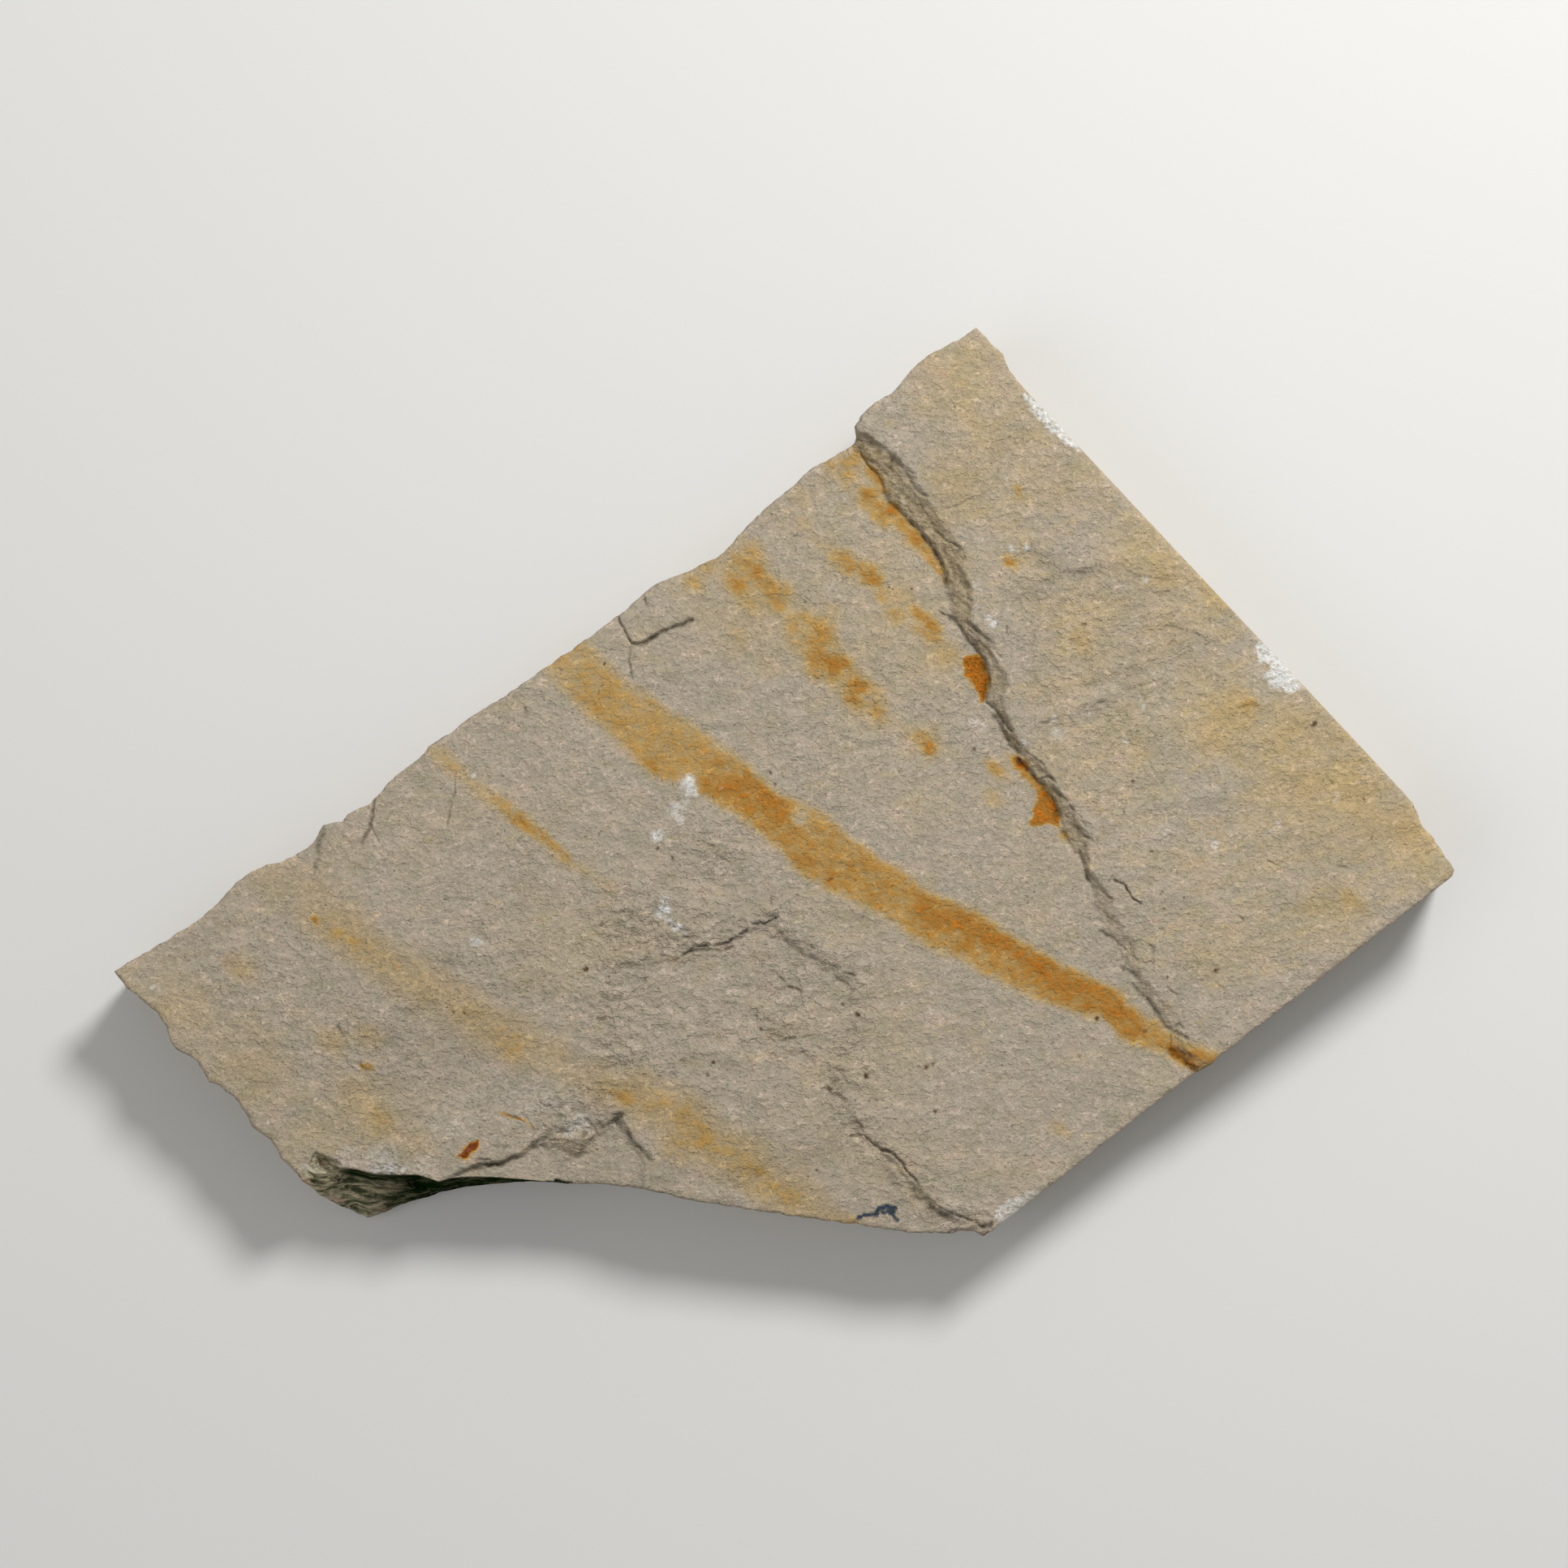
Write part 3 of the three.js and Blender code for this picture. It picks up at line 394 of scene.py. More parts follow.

# Painted shade: dark strokes along the ledge, mostly where its broken steps turn away from the light, from
# its upper end down, given as the cracks are. Over the iron stain they show brown.
LEDGE_EDGE_SHADE = [
    (0.14, 0.05, 0.30, [(1063, 533), (1072, 541), (1080, 547), (1090, 553)]),
    (0.24, 0.10, 0.60, [(1088, 552), (1095, 558), (1103, 569), (1113, 577), (1119, 582)]),
    (0.10, 0.10, 0.70, [(1112, 576), (1119, 581), (1125, 585)]),
    (0.12, 0.05, 0.45, [(1118, 586), (1124, 598), (1132, 608), (1147, 613)]),
    (0.12, 0.05, 0.35, [(1062, 562), (1072, 569), (1084, 578)]),
    (0.35, 0.05, 0.40, [(1119, 614), (1127, 623), (1134, 630)]),
    (0.14, 0.10, 0.50, [(1126, 608), (1134, 622), (1141, 634), (1150, 648)]),
    (0.12, 0.10, 0.55, [(1057, 552), (1063, 562), (1069, 573), (1080, 583), (1088, 600)]),
    (0.20, 0.15, 0.80, [(1088, 606), (1095, 620), (1104, 626), (1110, 632), (1118, 639)]),
    (0.24, 0.20, 0.95, [(1118, 640), (1128, 650), (1136, 660), (1146, 671), (1154, 684), (1160, 698),
        (1165, 712), (1166, 723)]),
    (0.12, 0.10, 0.60, [(1150, 653), (1158, 659), (1166, 667)]),
    (0.10, 0.12, 0.85, [(1164, 666), (1172, 669), (1180, 674)]),
    (0.18, 0.08, 0.50, [(1180, 674), (1187, 682), (1190, 690)]),
    (0.16, 0.08, 0.40, [(1160, 677), (1168, 688), (1173, 700), (1177, 713)]),
    (0.14, 0.05, 0.45, [(1188, 716), (1193, 723), (1198, 728)]),
    (0.12, 0.05, 0.35, [(1180, 730), (1190, 737), (1202, 742)]),
    (0.12, 0.05, 0.30, [(1186, 744), (1194, 750), (1206, 753)]),
    (0.35, 0.05, 0.35, [(1170, 722), (1172, 736), (1176, 752)]),
    (0.10, 0.10, 0.90, [(1157, 753), (1163, 757), (1169, 760)]),
    (0.20, 0.15, 0.85, [(1168, 759), (1175, 764), (1182, 771), (1188, 781), (1195, 791), (1202, 799)]),
    (0.17, 0.15, 0.75, [(1184, 767), (1193, 768), (1200, 773), (1207, 780), (1215, 787), (1222, 794)]),
    (0.14, 0.10, 0.50, [(1222, 794), (1227, 803), (1234, 812)]),
    (0.12, 0.05, 0.45, [(1190, 773), (1199, 781), (1209, 793), (1221, 806)]),
    (0.16, 0.15, 0.80, [(1200, 798), (1207, 806), (1212, 812), (1216, 824)]),
    (0.20, 0.15, 0.95, [(1215, 822), (1218, 836), (1217, 850), (1214, 862)]),
    (0.12, 0.12, 0.75, [(1213, 864), (1219, 869), (1225, 873), (1231, 881), (1238, 892), (1245, 901)]),
    (0.24, 0.15, 0.80, [(1223, 880), (1230, 889), (1235, 900), (1240, 910), (1249, 919), (1256, 928)]),
    (0.10, 0.05, 0.55, [(1243, 906), (1250, 913), (1258, 920)]),
    (0.22, 0.15, 1.00, [(1253, 936), (1258, 939), (1264, 945), (1272, 956), (1280, 964), (1290, 975)]),
    (0.11, 0.10, 0.70, [(1264, 926), (1272, 932), (1280, 938), (1288, 947)]),
    (0.13, 0.10, 0.75, [(1279, 962), (1286, 957), (1293, 958), (1300, 964)]),
    (0.24, 0.10, 0.80, [(1297, 972), (1302, 976), (1307, 980)]),
    (0.13, 0.10, 0.75, [(1306, 979), (1313, 986), (1318, 993), (1323, 998)]),
    (0.20, 0.15, 0.80, [(1290, 975), (1297, 984), (1302, 997), (1306, 1008)]),
    (0.30, 0.10, 0.75, [(1317, 1010), (1322, 1017), (1328, 1022), (1331, 1027)]),
    (0.12, 0.10, 0.60, [(1328, 1018), (1334, 1028), (1340, 1033), (1346, 1035)]),
    (0.09, 0.05, 0.50, [(1332, 1012), (1338, 1019)]),
    (0.20, 0.10, 0.60, [(1308, 1022), (1311, 1030), (1316, 1039)]),
    (0.12, 0.10, 0.55, [(1318, 1036), (1330, 1037), (1338, 1042)]),
    (0.18, 0.10, 0.70, [(1333, 1040), (1336, 1048)]),
    (0.17, 0.15, 0.80, [(1329, 1048), (1334, 1059), (1337, 1070), (1339, 1080), (1342, 1090)]),
    (0.32, 0.10, 0.60, [(1347, 1093), (1351, 1099), (1350, 1104)]),
    (0.12, 0.08, 0.65, [(1356, 1097), (1363, 1103), (1372, 1109)]),
    (0.20, 0.05, 0.40, [(1352, 1108), (1358, 1114), (1365, 1119)]),
    (0.16, 0.05, 0.60, [(1361, 1127), (1368, 1133), (1374, 1130)]),
    (0.14, 0.05, 0.45, [(1374, 1135), (1381, 1142), (1391, 1147)]),
    (0.16, 0.05, 0.40, [(1352, 1132), (1360, 1138), (1366, 1145)]),
    (0.15, 0.08, 0.65, [(1354, 1146), (1363, 1152), (1373, 1156)]),
    (0.11, 0.08, 0.65, [(1374, 1158), (1381, 1165), (1388, 1171)]),
    (0.12, 0.05, 0.35, [(1379, 1170), (1383, 1182), (1391, 1190)]),
    (0.19, 0.12, 0.85, [(1381, 1192), (1388, 1194), (1394, 1198), (1402, 1204)]),
    (0.13, 0.12, 0.75, [(1396, 1213), (1401, 1219), (1406, 1225)]),
    (0.25, 0.15, 0.90, [(1405, 1224), (1411, 1229), (1417, 1235), (1422, 1243), (1426, 1250)]),
    (0.16, 0.15, 0.75, [(1426, 1249), (1431, 1258), (1436, 1266), (1446, 1271), (1456, 1276), (1464, 1281)]),
    (0.12, 0.08, 0.55, [(1447, 1266), (1453, 1261), (1458, 1268)]),
    (0.12, 0.10, 1.00, [(1443, 1274), (1444, 1282), (1441, 1292)]),
    (0.32, 0.15, 1.25, [(1441, 1291), (1449, 1301), (1459, 1307), (1467, 1314), (1475, 1320)]),
    (0.30, 0.10, 0.90, [(1447, 1293), (1458, 1299), (1468, 1306)]),
]

# Small dark flecks: place and radius in mm
FLECKS = [
    ((1022, 1341), 0.3), ((1067, 1326), 0.32), ((1070, 1324), 0.2), ((1057, 1250), 0.32),
    ((1038, 1238), 0.22), ((1023, 1083), 0.2), ((1141, 1314), 0.3), ((1150, 1311), 0.26),
    ((1153, 1370), 0.26), ((950, 953), 0.16), ((955, 966), 0.14), ((701, 1066), 0.16), ((745, 818), 0.14),
    ((773, 847), 0.14), ((1200, 923), 0.26), ((1617, 893), 0.3), ((1497, 1196), 0.3), ((1352, 1255), 0.3),
    ((1330, 1302), 0.22), ((1433, 1119), 0.14), ((1395, 962), 0.18), ((1098, 724), 0.14), ((560, 1247), 0.2),
    ((571, 1248), 0.16), ((613, 1195), 0.16), ((1334, 770), 0.18), ((1282, 1330), 0.12), ((1255, 937), 0.32),
    ((1098, 568), 0.2), ((872, 1325), 0.2), ((880, 1309), 0.16), ((954, 1298), 0.16), ((937, 1267), 0.14),
    ((1418, 1048), 0.18), ((1008, 1442), 0.2), ((1411, 1270), 0.2), ((1438, 1204), 0.12), ((1123, 725), 0.12),
    ((810, 1046), 0.18), ((829, 1057), 0.14), ((1384, 1000), 0.14), ((1678, 984), 0.16), ((1689, 1031), 0.14),
    ((1457, 1104), 0.12), ((1507, 968), 0.12), ((1336, 769), 0.2), ((1618, 890), 0.2), ((722, 1194), 0.3),
    ((749, 1204), 0.14), ((741, 1137), 0.2),
]

# Painted shadow in a small chip scar by the lower edge, blue-black, as short strokes
CHIP_SCAR_SHADOW = [
    [(1058, 1501), (1065, 1497), (1077, 1497)], [(1080, 1496), (1083, 1489), (1092, 1487), (1103, 1489)],
    [(1088, 1494), (1101, 1492)], [(1098, 1496), (1106, 1504)],
]

# ---------------------------------------------------------------- iron stain

# The broad band of iron stain, between its upper right and its lower left side
BAND_UPPER = [
    (690, 760), (740, 810), (773, 843), (800, 857), (827, 877), (857, 897), (887, 917), (923, 947),
    (950, 973), (987, 990), (1023, 1007), (1050, 1037), (1087, 1060), (1120, 1083), (1160, 1110),
    (1207, 1130), (1230, 1145), (1255, 1162), (1285, 1175), (1310, 1190), (1335, 1205), (1360, 1215),
    (1379, 1222), (1388, 1236), (1405, 1248), (1425, 1262), (1441, 1275), (1460, 1284), (1480, 1290),
    (1520, 1306),
]
BAND_LOWER = [
    (640, 800), (673, 827), (703, 857), (727, 883), (753, 903), (780, 933), (807, 957), (840, 961),
    (873, 982), (900, 993), (930, 1020), (957, 1043), (983, 1070), (1007, 1087), (1040, 1103), (1070, 1117),
    (1107, 1137), (1133, 1160), (1173, 1176), (1200, 1190), (1225, 1202), (1245, 1210), (1265, 1225),
    (1287, 1237), (1315, 1242), (1335, 1252), (1355, 1252), (1370, 1260), (1380, 1275), (1395, 1287),
    (1417, 1292), (1432, 1300), (1450, 1305), (1467, 1315), (1490, 1340),
]
# How strong the stain is about each place inside the band: place, reach in grid steps and strength
BAND_TONES = [
    ((700, 810), 30, 0.42), ((735, 845), 30, 0.5), ((745, 862), 14, 0.66), ((775, 880), 30, 0.5),
    ((800, 925), 25, 0.56), ((830, 905), 25, 0.52), ((800, 950), 14, 0.7), ((850, 925), 22, 0.56),
    ((850, 950), 16, 0.64), ((885, 935), 16, 0.6), ((878, 970), 12, 0.86), ((903, 977), 14, 1.0),
    ((925, 968), 12, 0.84), ((940, 985), 12, 0.95), ((957, 1000), 12, 0.9), ((930, 1003), 12, 0.8),
    ((985, 1012), 9, 0.35), ((1000, 1020), 10, 0.55), ((980, 1035), 15, 0.72), ((1010, 1050), 20, 0.66),
    ((990, 1058), 14, 0.82), ((1030, 1045), 14, 0.62), ((1045, 1075), 22, 0.66), ((1065, 1060), 16, 0.72),
    ((1030, 1090), 14, 0.78), ((1080, 1085), 16, 0.68), ((1075, 1105), 14, 0.7), ((1110, 1090), 14, 0.7),
    ((1110, 1120), 16, 0.62), ((1140, 1118), 14, 0.85), ((1150, 1130), 14, 0.92), ((1130, 1140), 14, 0.66),
    ((1180, 1130), 16, 0.92), ((1170, 1160), 16, 0.68), ((1205, 1150), 13, 1.0), ((1205, 1164), 5, 0.5),
    ((1232, 1162), 13, 1.0), ((1200, 1180), 14, 0.62), ((1235, 1190), 18, 0.7), ((1262, 1180), 14, 0.98),
    ((1285, 1190), 14, 0.98), ((1262, 1205), 14, 0.66), ((1300, 1200), 14, 0.98), ((1285, 1222), 14, 0.7),
    ((1330, 1215), 14, 1.0), ((1320, 1232), 12, 0.8), ((1350, 1228), 12, 1.04), ((1350, 1242), 9, 0.85),
    ((1372, 1232), 10, 0.9), ((1375, 1250), 9, 1.0), ((1395, 1255), 10, 0.85), ((1395, 1272), 10, 0.8),
    ((1420, 1272), 10, 0.72), ((1415, 1285), 9, 0.65), ((1440, 1285), 8, 0.7), ((1447, 1294), 5, 1.1),
    ((1458, 1303), 6, 1.15), ((1468, 1308), 6, 1.05), ((1480, 1300), 8, 0.75), ((1495, 1305), 8, 0.7),
]
# The tone far from all of them, and how little it weighs
FIRST_TONE, FIRST_WEIGHT = 0.6, 0.01
# Stains in patches: place, radius in grid steps and strength
STAINS = [
    # the row of patches under the upper edge
    ((906, 719), 14, 0.72), ((922, 708), 26, 0.5), ((930, 701), 12, 0.76), ((925, 678), 14, 0.45),
    ((949, 726), 12, 0.7), ((957, 742), 12, 0.72), ((965, 728), 11, 0.5), ((925, 745), 12, 0.45),
    ((938, 712), 9, 0.7), ((912, 690), 12, 0.5), ((855, 718), 11, 0.5), ((868, 694), 12, 0.5),
    ((880, 684), 8, 0.5), ((980, 772), 12, 0.6), ((995, 762), 12, 0.55), ((1010, 777), 15, 0.6),
    ((1020, 771), 11, 0.5), ((1015, 788), 15, 0.66), ((980, 791), 12, 0.4), ((1000, 792), 13, 0.5),
    ((1005, 810), 14, 0.8), ((1024, 820), 14, 0.92), ((1039, 816), 10, 0.9), ((1003, 827), 11, 0.6),
    ((1025, 836), 13, 0.5), ((1055, 841), 12, 0.8), ((1050, 856), 12, 0.8), ((1063, 847), 10, 0.75),
    ((1077, 848), 9, 0.5), ((1060, 868), 13, 0.45), ((1080, 873), 14, 0.5), ((1082, 884), 12, 0.42),
    ((1140, 914), 13, 0.68), ((1145, 919), 7, 0.95), ((1127, 911), 9, 0.4), ((1117, 901), 12, 0.2),
    ((1150, 902), 12, 0.2), ((907, 780), 8, 0.25), ((912, 792), 8, 0.2), ((1025, 752), 11, 0.25),
    ((945, 822), 12, 0.14), ((1000, 870), 14, 0.12),
    # the row above it
    ((987, 615), 12, 0.22), ((992, 646), 9, 0.28), ((1010, 670), 8, 0.3), ((1027, 680), 9, 0.42),
    ((1033, 690), 9, 0.55), ((1046, 692), 10, 0.7), ((1042, 701), 9, 0.6), ((1061, 700), 9, 0.6),
    ((1072, 710), 12, 0.84), ((1082, 715), 8, 0.72), ((1085, 725), 8, 0.52), ((1087, 737), 9, 0.45),
    ((1102, 738), 9, 0.35), ((1100, 757), 10, 0.55), ((1107, 755), 7, 0.6), ((1127, 753), 9, 0.6),
    ((1140, 762), 10, 0.8), ((1150, 772), 9, 0.76), ((1132, 777), 10, 0.5), ((1145, 785), 10, 0.6),
    ((1157, 790), 10, 0.45), ((1157, 808), 12, 0.38), ((1172, 804), 12, 0.38), ((1115, 735), 11, 0.25),
    # along the foot of the ledge
    ((1027, 575), 11, 0.45), ((1018, 568), 7, 0.35), ((1042, 571), 8, 0.5), ((1055, 568), 10, 0.55),
    ((1047, 586), 10, 0.5), ((1057, 556), 8, 0.5), ((1066, 562), 8, 0.6), ((1042, 597), 9, 0.35),
    ((1072, 580), 9, 0.65), ((1082, 590), 10, 0.75), ((1090, 602), 8, 0.72), ((1067, 609), 10, 0.78),
    ((1075, 618), 11, 0.66), ((1064, 622), 8, 0.5), ((1080, 606), 9, 0.6), ((1085, 632), 11, 0.8),
    ((1098, 632), 9, 0.9), ((1102, 624), 7, 0.85), ((1090, 641), 8, 0.55), ((1112, 645), 9, 0.75),
    ((1122, 656), 8, 0.9), ((1132, 669), 8, 0.8), ((1142, 681), 8, 0.8), ((1150, 692), 7, 0.85),
    ((1157, 702), 6, 0.75), ((1125, 668), 8, 0.5), ((1163, 716), 5, 0.6), ((1035, 560), 12, 0.25),
    # round the lower part of the ledge
    ((1255, 940), 7, 1.5), ((1246, 935), 8, 0.4), ((1262, 952), 6, 0.9), ((1270, 960), 5, 0.9),
    ((1277, 967), 5, 1.0), ((1284, 972), 6, 1.0), ((1227, 948), 10, 0.6), ((1220, 938), 8, 0.3),
    ((1224, 983), 10, 0.35), ((1312, 1030), 7, 0.6), ((1240, 958), 8, 0.3),
    # the thin band on the left
    ((537, 930), 10, 0.37), ((550, 935), 12, 0.4), ((562, 950), 10, 0.4), ((578, 963), 9, 0.35),
    ((592, 973), 9, 0.37), ((606, 984), 9, 0.4), ((616, 991), 9, 0.44), ((626, 999), 10, 0.53),
    ((636, 1007), 9, 0.62), ((646, 1015), 10, 0.7), ((657, 1025), 9, 0.67), ((668, 1033), 9, 0.62),
    ((677, 1040), 8, 0.63), ((687, 1047), 8, 0.62), ((697, 1056), 7, 0.53), ((705, 1064), 7, 0.35),
    ((720, 1071), 9, 0.22), ((738, 1085), 10, 0.19), ((752, 1092), 10, 0.19), ((683, 1058), 8, 0.22),
    # the faint band on the lower left
    ((335, 1085), 34, 0.16), ((390, 1098), 25, 0.21), ((387, 1130), 22, 0.28), ((423, 1143), 29, 0.34),
    ((412, 1150), 16, 0.38), ((440, 1163), 22, 0.34), ((463, 1178), 25, 0.34), ((490, 1197), 27, 0.31),
    ((523, 1217), 27, 0.31), ((553, 1223), 22, 0.26), ((575, 1246), 27, 0.3), ((592, 1263), 29, 0.3),
    ((615, 1273), 27, 0.3), ((640, 1284), 27, 0.33), ((632, 1292), 15, 0.41), ((673, 1298), 25, 0.25),
    ((700, 1318), 22, 0.21), ((743, 1337), 25, 0.3), ((768, 1345), 13, 0.43), ((770, 1357), 10, 0.49),
    ((795, 1355), 28, 0.43), ((830, 1367), 25, 0.39), ((853, 1387), 29, 0.46), ((864, 1402), 18, 0.54),
    ((833, 1410), 20, 0.37), ((885, 1418), 29, 0.41), ((920, 1428), 29, 0.39), ((927, 1446), 22, 0.39),
    ((953, 1466), 25, 0.43), ((975, 1478), 17, 0.43), ((1003, 1487), 21, 0.3), ((1030, 1500), 13, 0.33),
    ((1048, 1507), 10, 0.41), ((985, 1462), 22, 0.25),
    # scattered
    ((1245, 694), 8, 0.8), ((1253, 606), 6, 0.7), ((1530, 870), 15, 0.42), ((1540, 868), 8, 0.5),
    ((1500, 880), 20, 0.3), ((1490, 910), 16, 0.34), ((1440, 706), 20, 0.22), ((1400, 925), 12, 0.2),
    ((1520, 930), 14, 0.22), ((1600, 980), 40, 0.22), ((1680, 1000), 40, 0.25), ((1735, 1020), 26, 0.32),
    ((1660, 1108), 12, 0.4), ((1675, 1117), 9, 0.36), ((1305, 1392), 10, 0.35), ((1332, 790), 11, 0.32),
    ((452, 1278), 14, 0.3), ((408, 1282), 13, 0.32), ((300, 1195), 16, 0.28), ((285, 1192), 10, 0.3),
    ((235, 1250), 40, 0.14), ((300, 1300), 45, 0.14), ((440, 1350), 22, 0.24), ((470, 1385), 20, 0.34),
    ((462, 1372), 14, 0.36), ((515, 1415), 22, 0.2), ((1290, 600), 26, 0.12), ((1175, 600), 30, 0.22),
    ((1195, 520), 14, 0.24), ((1215, 545), 16, 0.18), ((1155, 470), 24, 0.14), ((1245, 545), 20, 0.12),
    ((1440, 760), 30, 0.14), ((1600, 900), 30, 0.14), ((1140, 1480), 16, 0.14), ((1200, 1290), 14, 0.12),
    ((1285, 505), 14, 0.2), ((1500, 730), 20, 0.3), ((1480, 712), 16, 0.26), ((1650, 905), 16, 0.2),
    ((388, 1132), 4, 0.95), ((762, 1346), 8, 0.6), ((1562, 823), 7, 0.3), ((1345, 1250), 9, 0.2),
    ((1480, 1185), 26, 0.1), ((960, 640), 22, 0.12), ((1160, 640), 20, 0.15), ((1170, 690), 22, 0.12),
    # small red-brown chips
    ((449, 1316), 4, 0.8), ((456, 1316), 4, 0.9), ((575, 1418), 11, 0.3),
]
# A thin line of rust: its places, with its half width in grid steps and its strength there
RUST_LINE = [((618, 1371), 1.6, 0.7), ((632, 1376), 2, 1.0), ((645, 1381), 2, 0.8), ((655, 1386), 3, 0.4)]
# Thick, sharp-edged spots of rust in the angle under the ledge, and a red-brown chip
RUST_DROP = [
    (1185, 818), (1187, 811), (1193, 807), (1202, 808), (1212, 812), (1217, 824), (1219, 836), (1217, 852),
    (1213, 865), (1204, 856), (1196, 842), (1188, 829),
]
RUST_WEDGE = [
    (1280, 974), (1290, 973), (1298, 986), (1303, 998), (1306, 1008), (1302, 1018), (1290, 1016),
    (1278, 1018), (1269, 1016), (1272, 1006), (1274, 993), (1276, 982),
]
RED_CHIP = [(566, 1424), (569, 1416), (576, 1411), (590, 1405), (590, 1413), (583, 1421), (573, 1427)]
# Their strength, and how soft their edges are in mm
RUST_PATCHES = [(RUST_DROP, 1.36, 0.27), (RUST_WEDGE, 1.22, 0.27), (RED_CHIP, 1.9, 0.12)]

# Broad yellowish zones: place, radius in grid steps and strength
WARM_PLACES = [
    ((1185, 470), 60, 0.55), ((1230, 590), 80, 0.5), ((1330, 590), 45, 0.65), ((1420, 680), 50, 0.75),
    ((1490, 750), 40, 0.8), ((1330, 775), 60, 0.7), ((1430, 790), 50, 0.45), ((1250, 700), 50, 0.45),
    ((1500, 880), 60, 0.8), ((1580, 930), 60, 0.8), ((1660, 960), 60, 0.85), ((1745, 1045), 50, 1.0),
    ((1650, 1050), 60, 0.65), ((1560, 1050), 60, 0.5), ((1300, 850), 50, 0.4), ((1390, 880), 50, 0.35),
    ((1310, 950), 50, 0.4), ((1400, 980), 60, 0.35), ((1480, 1060), 60, 0.4), ((1630, 1120), 50, 0.8),
    ((1530, 1150), 60, 0.4), ((1450, 1130), 60, 0.2), ((1030, 630), 60, 0.25), ((1100, 710), 60, 0.35),
    ((1170, 700), 50, 0.45), ((1000, 700), 60, 0.25), ((930, 770), 50, 0.3), ((1060, 850), 50, 0.4),
    ((1150, 830), 50, 0.3), ((1130, 900), 50, 0.3), ((1200, 980), 60, 0.15), ((200, 1225), 60, 0.25),
    ((320, 1320), 60, 0.35), ((430, 1370), 60, 0.3),
]
# Places a little darker than the rest, given in the same way. They are partly painted shade, where the
# light is weaker and the relief is rough, and partly the stone's own darker tone.
DUSKY_PLACES = [
    ((500, 1290), 60, 0.8), ((590, 1300), 60, 0.9), ((620, 1340), 40, 0.5), ((450, 1400), 60, 0.5),
    ((360, 1330), 60, 0.4), ((820, 1450), 40, 0.8), ((1000, 1440), 40, 0.7), ((740, 1350), 50, 0.6),
    ((1320, 700), 50, 0.8), ((1380, 720), 50, 0.7), ((1300, 820), 50, 0.5), ((1400, 800), 60, 0.5),
    ((930, 740), 50, 0.3), ((640, 1220), 60, 0.4), ((800, 1180), 50, 0.5), ((1480, 800), 50, 0.4),
    ((1640, 1080), 50, 0.6), ((560, 1400), 40, 0.5), ((880, 1340), 60, 0.3), ((440, 1165), 40, 0.5),
    ((530, 1220), 40, 0.6), ((790, 1355), 40, 0.6), ((850, 1390), 45, 0.7), ((920, 1435), 45, 0.8),
    ((480, 1190), 35, 0.5), ((620, 1280), 35, 0.5), ((960, 1470), 40, 0.6), ((740, 1340), 35, 0.4),
]

# Where the surface is flaky and rough: place, radius in grid steps and strength
ROUGH_PLACES = [
    ((880, 1055), 60, 0.6), ((790, 1150), 75, 1.0), ((865, 1150), 50, 0.8), ((756, 1240), 50, 0.9),
    ((765, 1300), 40, 0.8), ((960, 1160), 50, 0.6), ((960, 1260), 60, 0.7), ((1040, 1330), 55, 0.7),
    ((850, 1270), 90, 0.5), ((600, 1200), 80, 0.45), ((500, 1280), 100, 0.4), ((430, 1300), 60, 0.5),
    ((320, 1230), 90, 0.35), ((920, 1390), 90, 0.35), ((700, 1390), 50, 0.9), ((740, 1360), 35, 0.9),
    ((1000, 1200), 50, 0.6), ((1120, 1440), 60, 0.5), ((640, 1080), 60, 0.25), ((1000, 940), 80, 0.2),
    ((1330, 800), 70, 0.4), ((1290, 700), 60, 0.4), ((1370, 900), 60, 0.3), ((1060, 860), 70, 0.25),
    ((1160, 920), 60, 0.3), ((1040, 700), 60, 0.2), ((480, 1420), 60, 0.5), ((1430, 780), 60, 0.3),
]

